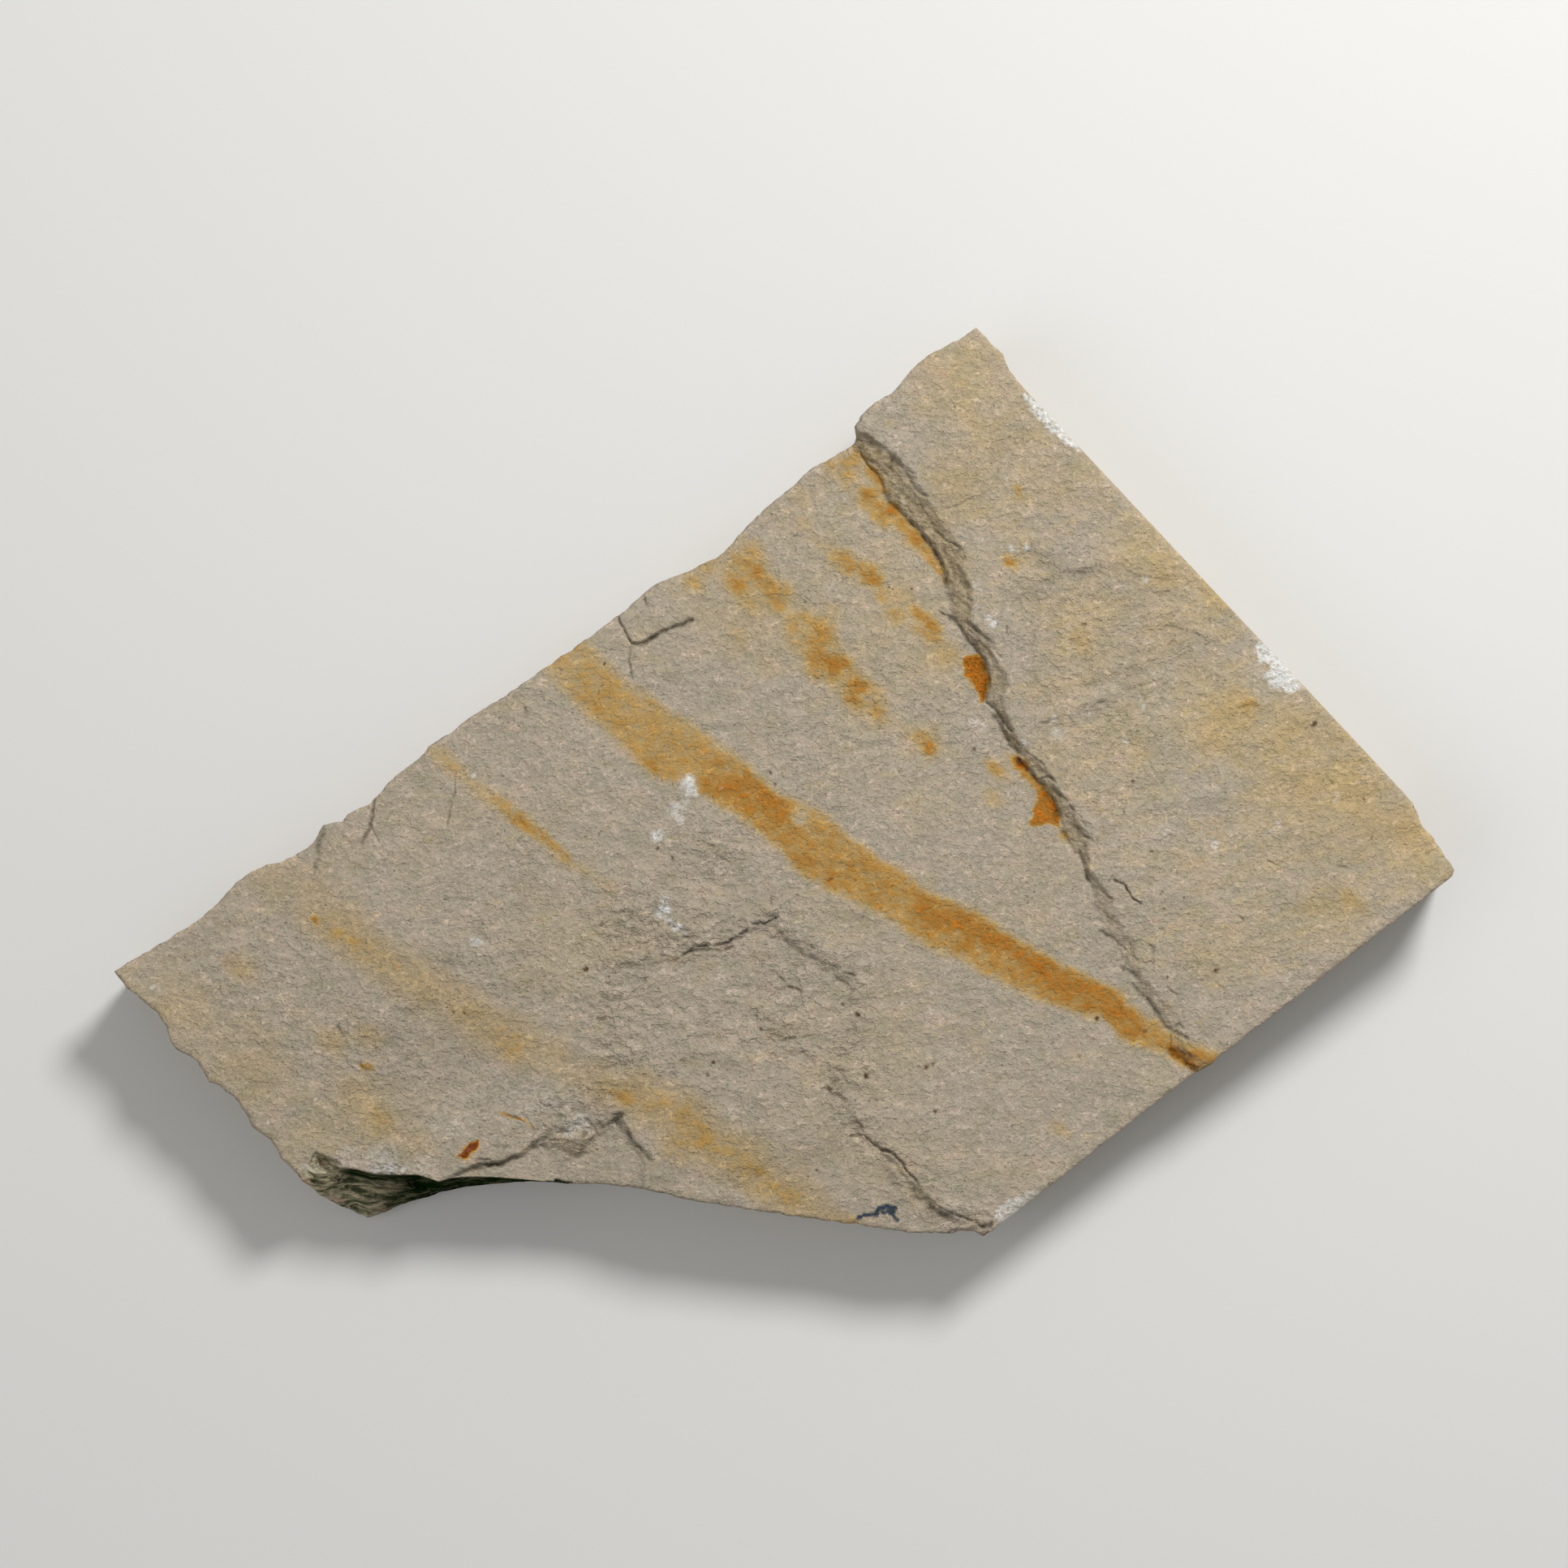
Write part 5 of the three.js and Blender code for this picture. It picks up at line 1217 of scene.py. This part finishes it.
def main_band(points):
    """The broad band of stain: at each point the mean of the tones about it, weighted by nearness."""
    edge = signed_distance(plan(BAND_UPPER + BAND_LOWER[::-1]), points)
    total, weight = np.full(len(points), FIRST_TONE * FIRST_WEIGHT), np.full(len(points), FIRST_WEIGHT)
    near = edge > -1.5
    for place, reach, tone in BAND_TONES:
        away = points[near] - plan([place])[0]
        share = np.exp(-(away**2).sum(axis=1) / (0.8 * reach * GRID_STEP) ** 2)
        total[near] += share * tone
        weight[near] += share
    mottled = 1 + rough("band mottle", points)
    return np.minimum(1.1 * mottled * total / weight, 1.12) * smooth(-0.9, 0.7, edge)


def rust_shadow(points):
    """Painted shade in dark brown along the foot of the ledge, where the thick rust runs in under it."""
    beside = smooth(0.7, 0.05, distance_to(FOOT, points))
    moved = uneven("rust shadow", points)
    depths = [signed_distance(plan(outline), moved) for outline in (RUST_DROP, RUST_WEDGE)]
    return 0.75 * beside * np.maximum(*(smooth(-0.1, 0.15, depth) for depth in depths))


def iron_strength(points):
    moved = uneven("stain", points)
    stains = spot_strength(STAINS, moved, 0.0, 2.15, 1.2, -45)
    total = np.maximum(main_band(moved), stains * (1.07 + rough("iron patch", points)))
    crisp = uneven("crisp stain", points)
    for outline, strength, softness in RUST_PATCHES:
        patch = strength * smooth(-softness, softness, signed_distance(plan(outline), crisp))
        total = np.maximum(total, patch)
    return np.maximum(total, band_strength(RUST_LINE, crisp))


def rough_strength(points):
    scar = smooth(2.6, 0.4, distance_to(plan(FLAKE_EDGE), points))
    return np.clip(np.maximum(spot_strength(ROUGH_PLACES, points, 0), 0.7 * scar), 0, 1)


def white_strength(points):
    moved = uneven("white", points)
    total = spot_strength(WHITE_SPOTS, moved)
    for chip in WHITE_CHIPS:
        total = np.maximum(total, band_strength(chip, uneven("white chip", points)))
    return total * (1 - spot_strength(CHIP_HOLE, moved))


def fleck_strength(points):
    moved = uneven("fleck", points)
    return np.max([smooth(1.1, 0.4, away_from(place, moved) / radius) for place, radius in FLECKS], axis=0)


def chip_scar_shadow_strength(points):
    moved = uneven("chip_scar_shadow", points)
    return smooth(0.3, 0.12, np.min([distance_to(plan(line), moved) for line in CHIP_SCAR_SHADOW], axis=0))


def scarp_strength(points):
    """Grey, broken stone on the ledge, fading down it, and a little in the crushed part of the chip."""
    share = terrace_share(uneven("ledge", points))
    rows, shares = plan([(0, row) for row, _ in LEDGE_SHARES])[:, 1], [shown for _, shown in LEDGE_SHARES]
    shown = np.interp(-points[:, 1], -rows, shares)
    on_ledge = shown * smooth(0, 0.15, share) * smooth(1.02, 0.7, share)
    return np.maximum(on_ledge, 0.35 * smooth(2.4, 0.6, away_from(CRUSHED_PLACE, points)))


def corner_marks(vertices, side, on_top):
    """The beds of the broken corner and its green, over the corner and where they spread onto the walls.
    The green is painted shade with a green tint, darkest under the rim and down the slope that faces away
    from the light.

    The last result is that painted green shade on the corner alone.
    """
    points = vertices[:, :2]
    share = broken_share(points)
    to_right = smooth(*columns(430, 510), points[:, 0])
    # The painted shade is deepest just under the rim
    under_rim = smooth(0.38, 0.15, share) * smooth(*columns(415, 432), points[:, 0])
    green_shade_on_top = smooth(0, 0.04, share) * np.maximum(0.08 + 0.92 * to_right, under_rim)
    away = np.where(is_inside(BROKEN_FACE, points), 0, distance_to(BROKEN_FACE, points))
    spread = smooth(4.5, 0.3, away + rough("corner edge", vertices[:, [0, 2]]))
    corner = np.where(side > 0, 0.6 * spread, smooth(0, 0.06, share) * on_top)
    green = np.where(side > 0, 0.72 * spread * to_right, green_shade_on_top * on_top)
    return corner, green, green_shade_on_top


def make_attributes(vertices, top_count, broken):
    """The strength of each mark at each vertex. On the walls, stains sway and fade with their depth."""
    points = vertices[:, :2]
    wall = slice(top_count, top_count + len(broken) * WALL_ROWS)
    side, sawn, under = np.zeros((3, len(vertices)))
    side[wall] = 1
    sawn[wall] = np.tile(1 - around(broken, 2), WALL_ROWS)
    under[wall.stop - len(broken):] = 1
    on_top = 1 - np.maximum(side, under)

    below = np.maximum(surface_height(points) - vertices[:, 2], 0) * side
    sway = [noise(below / 3, points[:, axis] / 6, SWAY_SEED + axis) for axis in (0, 1)]
    swayed = points + (0.25 * np.minimum(below, 4))[:, None] * np.column_stack(sway)
    faded = 1 - 0.6 * (sawn * smooth(0, 4, below))
    patchy = noise(below / 1.3, points[:, 0] / 3, SEEP_SEED)
    seeping = 1 - side * smooth(0.5, 7, below) * (0.45 + 0.4 * patchy)
    corner, green, green_shade_on_top = corner_marks(vertices, side, on_top)
    iron = iron_strength(swayed) * faded * seeping
    chalky = np.where(side > 0, smooth(1.6, 0.2, below), on_top * (1 - green_shade_on_top))
    marks = {
        "rough": rough_strength(points),
        # the dark of the cracks, partly painted shade, and the painted shade along the foot of the ledge
        "crack_and_shade": np.maximum(crack_and_shade_marks(points)[0], rust_shadow(points)),
        "fleck": fleck_strength(points),
        "chip_scar_shadow": chip_scar_shadow_strength(points),
        "scarp": scarp_strength(points),
        "terrace": terrace_share(points),
    }
    return {name: strength * on_top for name, strength in marks.items()} | {
        "iron": np.where(under > 0, 0.6 * main_band(swayed), iron),
        "white": white_strength(points) * chalky,
        "corner": corner,
        "green": green,
        "warm": spot_strength(WARM_PLACES, swayed, 0.0, 1.8) * (1 - 0.4 * side) * faded,
        "dusky": spot_strength(DUSKY_PLACES, swayed, 0.0, 1.8),
        "side": side,
        "sawn": sawn,
        "under": under,
    }


def make_slab():
    vertices, faces, top_count, broken = make_slab_mesh()
    mesh = bpy.data.meshes.new("limestone_slab")
    mesh.from_pydata((vertices * MM).tolist(), [], faces.tolist())
    mesh.polygons.foreach_set("use_smooth", np.ones(len(mesh.polygons), bool))
    marks = make_attributes(vertices, top_count, broken)
    for name, values in marks.items():
        mesh.attributes.new(name, "FLOAT", "POINT").data.foreach_set("value", values.astype(np.float32))
    mesh.update()
    mesh.materials.append(make_stone(marks))
    slab = bpy.data.objects.new("limestone_slab", mesh)
    bpy.context.collection.objects.link(slab)
    return slab


# ---------------------------------------------------------------- the stone


def colour(red, green, blue):
    """A colour read as 0 to 255 on a screen, as the linear values that a shader takes."""
    shares = [value / 255 for value in (red, green, blue)]
    linear = [share / 12.92 if share <= 0.04045 else ((share + 0.055) / 1.055) ** 2.4 for share in shares]
    return (*linear, 1.0)


class Shader:
    """Short names for the nodes of one material. A value that is a socket is linked, and any other is set."""

    def __init__(self, name):
        self.material = bpy.data.materials.new(name)
        self.material.use_nodes = True
        self.tree = self.material.node_tree
        self.tree.nodes.clear()

    def node(self, kind, inputs=(), output=0, **settings):
        made = self.tree.nodes.new(kind)
        for name, value in settings.items():
            setattr(made, name, value)
        for name, value in dict(inputs).items():
            if isinstance(value, bpy.types.NodeSocket):
                self.tree.links.new(value, made.inputs[name])
            else:
                made.inputs[name].default_value = value
        return made.outputs[output] if made.outputs else None

    def math(self, operation, first, second=0.0):
        return self.node("ShaderNodeMath", {0: first, 1: second}, operation=operation)

    def add(self, first, *others):
        for other in others:
            first = self.math("ADD", first, other)
        return first

    def less(self, first, second):
        return self.math("SUBTRACT", first, second)

    def times(self, first, second):
        return self.math("MULTIPLY", first, second)

    def mix(self, factor, first, second, blend="MIX"):
        settings = {"output": 2, "data_type": "RGBA", "blend_type": blend}
        return self.node("ShaderNodeMix", {0: factor, 6: first, 7: second}, **settings)

    def blend(self, factor, first, second):
        return self.node("ShaderNodeMix", {0: factor, 2: first, 3: second})

    def ramp(self, value, low, high, to_low=0.0, to_high=1.0, shape="SMOOTHSTEP"):
        """A value from low to high as one from to_low to to_high, eased, and held beyond its ends."""
        inputs = {"Value": value, "From Min": low, "From Max": high, "To Min": to_low, "To Max": to_high}
        return self.node("ShaderNodeMapRange", inputs, interpolation_type=shape, clamp=True)

    def fade(self, value, low, high, *to):
        """Like ramp, but straight."""
        return self.ramp(value, low, high, *to, shape="LINEAR")

    def noise(self, vector, sizes, turn, detail, roughness):
        """Noise with features of sizes millimetres, turned about Z by turn degrees."""
        inputs = {"Vector": vector, "Angle": math.radians(-turn)}
        turned = self.node("ShaderNodeVectorRotate", inputs, rotation_type="Z_AXIS")
        scale = tuple(1 / size for size in sizes)
        sized = self.node("ShaderNodeVectorMath", {0: turned, 1: scale}, operation="MULTIPLY")
        inputs = {"Vector": sized, "Scale": 1, "Detail": detail, "Roughness": roughness}
        return self.node("ShaderNodeTexNoise", inputs, output="Fac")

    def finish(self, **inputs):
        """The surface, from the inputs of its shader."""
        named = {name.replace("_", " "): value for name, value in inputs.items()}
        shader = self.node("ShaderNodeBsdfPrincipled", named)
        self.node("ShaderNodeOutputMaterial", {"Surface": shader})
        return self.material


GREY_TAN = colour(167, 156, 139)
WARM_TAN = colour(178, 158, 118)
PINK_GREY = colour(184, 158, 140)
GREEN_GREY = colour(160, 154, 124)
YELLOW_TAN = colour(182, 162, 124)
BLUE_GREY = colour(166, 156, 142)
PALE_OCHRE = colour(177, 150, 99)
OCHRE = colour(168, 128, 68)
ORANGE = colour(162, 111, 46)
RUST_DEEP = colour(128, 74, 6)
RUST_BRIGHT = colour(180, 106, 34)
RED_BROWN = colour(120, 60, 20)
SCARP_PALE = colour(170, 154, 128)
SCARP_DARK = colour(138, 120, 88)
SCARP_OLIVE = colour(142, 131, 91)
SCARP_VIOLET = colour(164, 147, 132)
CORNER_PALE = colour(196, 184, 152)
CORNER_PINK = colour(192, 162, 142)
# Dark green-grey of the broken corner's beds: partly painted shade in the gaps between them
CORNER_DARK = colour(64, 76, 46)
DARK_GREY = colour(58, 54, 40)
DARK_BROWN = colour(100, 62, 14)
# Painted shade, tinted green, for the broken corner
DEEP_GREEN_SHADE = colour(12, 30, 6)
CHIP_WHITE = colour(212, 212, 208)
FLECK_BROWN = colour(88, 66, 46)
# Painted shadow in the small chip scar
CHIP_SCAR_SHADOW_BLUE = colour(52, 62, 72)
SAWN_GREY = colour(178, 168, 148)
UNDER_TAN = colour(172, 152, 120)
FLOOR_PALE = colour(222, 221, 218)
STREAK_SHADE = (0.34, 0.31, 0.26, 1)

# Noise in the stone: its size along, across and up in mm, its turn in degrees, its detail and roughness
STONE_NOISE = {
    "speck": ((0.17, 0.17, 0.17), 0, 1, 0.5),
    "grain": ((0.42, 0.38, 0.38), 0, 2, 0.6),
    "chips": ((1.0, 0.8, 0.8), 0, 3, 0.6),
    "mottle": ((3.4, 2.4, 2.4), 0, 3, 0.55),
    "cloud": ((15, 10, 10), 0, 2, 0.5),
    "tint": ((0.95, 0.7, 0.7), 0, 3, 0.65),
    "yellow": ((3.0, 1.7, 1.7), 12, 4, 0.7),
    "level streak": ((0.95, 0.34, 0.34), -6, 2, 0.6),
    "climbing streak": ((1.0, 0.42, 0.4), 14, 2, 0.6),
    "bed streak": ((6, 6, 0.28), 0, 3, 0.6),
    "ledge streak": ((1.0, 0.4, 0.5), -40, 4, 0.7),
    "corner streak": ((2.6, 0.75, 0.6), -10, 4, 0.65),
    "pale grain": ((0.5, 0.2, 0.2), 15, 1, 0.5),
    "curl": ((1.9, 1.2, 1.2), 15, 2, 0.5),
    "dark grain": ((0.36, 0.26, 0.26), 0, 0, 0.5),
}
# Tints over the stone: their noise, where on it each begins and is full, how strong it is, and its colour
PLAIN_TINTS = [
    ("mottle", 0.52, 0.75, 0.35, PINK_GREY), ("mottle", 0.46, 0.28, 0.35, GREEN_GREY),
    ("tint", 0.5, 0.75, 0.4, PINK_GREY), ("tint", 0.5, 0.25, 0.4, GREEN_GREY),
]
BLUE_TINT = [("yellow", 0.45, 0.28, 0.35, BLUE_GREY)]
LEDGE_TINTS = [
    ("corner streak", 0.5, 0.36, 0.4, DARK_GREY), ("mottle", 0.52, 0.7, 0.6, SCARP_OLIVE),
    ("mottle", 0.46, 0.3, 0.6, SCARP_VIOLET),
]
CORNER_TINT = [("mottle", 0.5, 0.68, 0.7, CORNER_PINK)]
# The strengths of stain at which each colour begins and is full
IRON_COLOURS = [(0.02, 0.62, PALE_OCHRE), (0.4, 0.9, OCHRE), (0.72, 1.2, ORANGE)]
RUST_STARTS, RED_STARTS = (1.08, 1.45), (1.5, 1.7)
# Noise that is added up: its name, the range of it that counts, and what that range becomes
IRON_GRAIN = [
    ("speck", 0.2, 0.8, -0.12, 0.12), ("grain", 0.2, 0.8, -0.18, 0.18), ("chips", 0.25, 0.75, -0.22, 0.22),
]
LIGHTS = [
    ("speck", 0.2, 0.8, 0.88, 1.12), ("grain", 0.2, 0.8, -0.09, 0.09), ("chips", 0.25, 0.75, -0.08, 0.08),
    ("mottle", 0.25, 0.75, -0.06, 0.06), ("pale grain", 0.61, 0.73, 0, 0.19),
]
BUMP_HEIGHT = 0.12 * MM


def summed(s, noise, rows):
    return s.add(*[s.ramp(noise[name], *limits) for name, *limits in rows])


def tinted(s, base, noise, tints):
    for name, start, full, strength, tint in tints:
        base = s.mix(s.ramp(noise[name], start, full, 0, strength), base, tint)
    return base


def flake_streaks(s, noise, at):
    """Streaks: level on the left, climbing on the right-hand layer, and along the beds on broken faces."""
    streak = noise["level streak"]
    for place, name in (("terrace", "climbing"), ("scarp", "ledge"), ("corner", "corner"), ("side", "bed")):
        streak = s.blend(at[place], streak, noise[name + " streak"])
    return streak


def plain_colour(s, noise, at):
    """Grey on the left and warmer on the right-hand layer, mottled pink, green, yellow and blue-grey."""
    warmth = s.add(s.times(at["warm"], 0.95), s.ramp(noise["cloud"], 0.35, 0.75, -0.12, 0.22))
    warmth = s.add(warmth, s.times(at["warm"], s.ramp(noise["yellow"], 0.3, 0.7, -0.4, 0.4)))
    base = s.mix(s.fade(warmth, 0, 1), GREY_TAN, WARM_TAN)
    base = tinted(s, base, noise, PLAIN_TINTS)
    yellowed = s.times(s.ramp(noise["yellow"], 0.5, 0.72), s.ramp(at["terrace"], 0, 1, 0.35, 0.6))
    base = s.mix(yellowed, base, YELLOW_TAN)
    base = tinted(s, base, noise, BLUE_TINT)
    base = s.mix(at["sawn"], base, SAWN_GREY)
    return s.mix(s.times(at["under"], 0.8), base, UNDER_TAN)


def add_iron(s, base, noise, at):
    """Iron stain. The grain breaks up its edges, and its strongest parts turn from ochre to rust."""
    broken_up = s.times(summed(s, noise, IRON_GRAIN), s.ramp(at["iron"], 0, 0.95))
    amount = s.add(at["iron"], broken_up)
    rust_mottle = s.add(noise["grain"], noise["chips"], noise["speck"])
    rust = s.mix(s.ramp(rust_mottle, 1.37, 1.63), RUST_DEEP, RUST_BRIGHT)
    for start, full, tone in IRON_COLOURS + [(*RUST_STARTS, rust), (*RED_STARTS, RED_BROWN)]:
        base = s.mix(s.fade(amount, start, full), base, tone)
    return base


def add_broken_stone(s, base, noise, at):
    """The ledge and the broken corner: streaks of pale and dark stone, olive and violet in places.
    On the corner the dark beds are partly painted shade, and the deep green over it is painted shade.
    """
    scarp = s.mix(s.ramp(noise["ledge streak"], 0.38, 0.6), SCARP_DARK, SCARP_PALE)
    scarp = tinted(s, scarp, noise, LEDGE_TINTS)
    base = s.mix(s.times(at["scarp"], s.ramp(noise["chips"], 0.35, 0.7, 1.0, 0.6)), base, scarp)
    # On the broken corner, the dark beds stand partly for painted shade between the pale ones
    beds = s.mix(s.ramp(noise["corner streak"], 0.4, 0.6), CORNER_DARK, CORNER_PALE)
    beds = tinted(s, beds, noise, CORNER_TINT)
    base = s.mix(s.times(at["corner"], 0.9), base, beds)
    # Painted shade: the deep green of the broken corner, strongest under its rim and to the right
    green = s.times(at["green"], s.ramp(noise["corner streak"], 0.45, 0.65, 1, 0.82))
    return s.mix(green, base, DEEP_GREEN_SHADE)


def add_marks(s, base, noise, at):
    """Cracks and painted edge shade, which are brown where the stone is stained, dark flecks, the painted
    shadow in the small chip scar and white bruises.
    """
    line = s.mix(s.ramp(at["iron"], 0.3, 0.8), DARK_GREY, DARK_BROWN)
    base = s.mix(s.times(at["crack_and_shade"], s.ramp(noise["grain"], 0.3, 0.7, 1.05, 0.6)), base, line)
    base = s.mix(at["fleck"], base, FLECK_BROWN)
    base = s.mix(at["chip_scar_shadow"], base, CHIP_SCAR_SHADOW_BLUE)
    whiteness = s.times(at["white"], s.ramp(noise["grain"], 0.3, 0.65, 0.35, 1.15))
    return s.mix(s.fade(whiteness, 0.05, 1, 0, 0.92), base, CHIP_WHITE)


def lightness(s, noise, at):
    """Light and dark of the grain and of broad patches, with pale and dark grains and thin curls."""
    lights = summed(s, noise, LIGHTS)
    curl = s.ramp(s.math("ABSOLUTE", s.less(noise["curl"], 0.5)), 0.035, 0.01)
    shown = s.less(s.ramp(noise["tint"], 0.5, 0.6, 0, 0.3), s.ramp(noise["tint"], 0.46, 0.36, 0, 0.08))
    lights = s.add(lights, s.times(curl, shown))
    beds = s.times(at["side"], s.ramp(noise["bed streak"], 0.3, 0.7, -0.13, 0.13))
    lights = s.add(lights, s.times(beds, s.fade(at["sawn"], 0, 1, 1, 0.4)))
    lights = s.times(lights, s.fade(at["terrace"], 0, 1, 1, 1.03))
    # Partly painted shade: darker in the dusky places
    lights = s.times(lights, s.fade(at["dusky"], 0, 1, 1, 0.89))
    return s.less(lights, s.ramp(noise["dark grain"], 0.26, 0.2, 0, 0.34))


def small_relief(s, edges, streak, noise, at):
    """Relief too small for the mesh: chips, grain, flake edges, streaks on broken faces, and cracks."""
    flakes = s.math("PINGPONG", s.times(noise["chips"], 5), 1)
    coarse = s.add(s.times(noise["chips"], 1.2), s.times(s.ramp(flakes, 0.3, 0.7), 0.25))
    flaked = s.times(s.ramp(edges, 0.28, 0.42), s.fade(at["terrace"], 0, 1, 0.4, 0.22))
    height = s.times(coarse, s.fade(at["rough"], 0, 1, 1, 2.2))
    height = s.add(height, s.times(noise["speck"], 0.35), s.times(noise["grain"], 0.9), flaked)
    broken = s.math("MAXIMUM", s.times(at["scarp"], 0.5), at["corner"])
    broken = s.math("MAXIMUM", broken, s.times(s.less(at["side"], at["sawn"]), 0.8))
    height = s.add(height, s.times(s.times(broken, streak), 1.3))
    height = s.less(height, s.times(at["crack_and_shade"], 0.8))
    return s.node("ShaderNodeBump", {"Strength": 1.0, "Distance": BUMP_HEIGHT, "Height": height})


def make_stone(marks):
    """Limestone that reads the strengths of the marks from the mesh."""
    s = Shader("limestone")
    place = s.node("ShaderNodeTexCoord", output="Object")
    mm = s.node("ShaderNodeVectorMath", {0: place, 1: (1 / MM, 1 / MM, 1 / MM)}, operation="MULTIPLY")
    at = {name: s.node("ShaderNodeAttribute", output="Fac", attribute_name=name) for name in marks}
    noise = {name: s.noise(mm, *settings) for name, settings in STONE_NOISE.items()}
    streak = flake_streaks(s, noise, at)
    fewer = s.add(s.fade(at["rough"], 0, 1, -0.045, 0.09), s.times(at["terrace"], -0.06))
    edges = s.less(streak, s.add(fewer, s.ramp(noise["mottle"], 0.3, 0.65, 0.02, -0.06)))
    base = plain_colour(s, noise, at)
    base = add_iron(s, base, noise, at)
    base = add_broken_stone(s, base, noise, at)
    base = add_marks(s, base, noise, at)
    base = s.mix(s.ramp(edges, 0.4, 0.28, 0, 0.24), base, STREAK_SHADE, "MULTIPLY")
    lights = lightness(s, noise, at)
    lit = s.node("ShaderNodeCombineColor", {0: lights, 1: lights, 2: lights})
    return s.finish(
        Base_Color=s.mix(1.0, base, lit, "MULTIPLY"),
        Roughness=s.ramp(noise["speck"], 0.3, 0.7, 0.82, 0.95),
        Normal=small_relief(s, edges, streak, noise, at),
        Specular_IOR_Level=0.0,
    )


# ---------------------------------------------------------------- floor, lights and camera

# Both lights: name, place in m, width in m and power in W
LAMPS = [("key", (0.2, 0.32, 0.37), 0.14, 2.35), ("fill", (-0.6, -0.2, 0.7), 0.8, 1.6)]
SKY_STRENGTH = 0.3
FLOOR_REACH, FLOOR_DROP = 3.0, 0.00002
IMAGE_SIDE, LENS, SENSOR = 1932, 150, 36


def make_floor():
    mesh = bpy.data.meshes.new("floor")
    signs = [(-1, -1), (1, -1), (1, 1), (-1, 1)]
    mesh.from_pydata([(x * FLOOR_REACH, y * FLOOR_REACH, -FLOOR_DROP) for x, y in signs], [], [(0, 1, 2, 3)])
    mesh.materials.append(Shader("pale_floor").finish(Base_Color=FLOOR_PALE, Roughness=0.9))
    floor = bpy.data.objects.new("floor", mesh)
    bpy.context.collection.objects.link(floor)


def make_light(name, place, size, power):
    """A round soft light that faces the slab."""
    data = bpy.data.lights.new(name, "AREA")
    data.shape = "DISK"
    data.size = size
    data.energy = power
    light = bpy.data.objects.new(name, data)
    light.location = place
    light.rotation_euler = (-Vector(place)).to_track_quat("-Z", "Y").to_euler()
    bpy.context.collection.objects.link(light)


def make_world():
    world = bpy.data.worlds.new("studio")
    world.use_nodes = True
    background = world.node_tree.nodes["Background"]
    background.inputs["Color"].default_value = (1, 1, 1, 1)
    background.inputs["Strength"].default_value = SKY_STRENGTH
    bpy.context.scene.world = world


def make_camera():
    """Straight down on the slab, its image up along +Y."""
    middle = plan([(IMAGE_SIDE / 2, IMAGE_SIDE / 2)])[0] * MM
    distance = IMAGE_SIDE * GRID_STEP * MM * LENS / SENSOR
    data = bpy.data.cameras.new("camera")
    data.lens = LENS
    data.sensor_width = SENSOR
    camera = bpy.data.objects.new("camera", data)
    camera.location = (middle[0], middle[1], THICKNESS * MM + distance)
    bpy.context.collection.objects.link(camera)
    bpy.context.scene.camera = camera


slab = make_slab()
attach(slab, "root")
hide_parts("slab")

make_floor()
for lamp in LAMPS:
    make_light(*lamp)
make_world()
make_camera()
bpy.context.scene.view_settings.view_transform = "Standard"
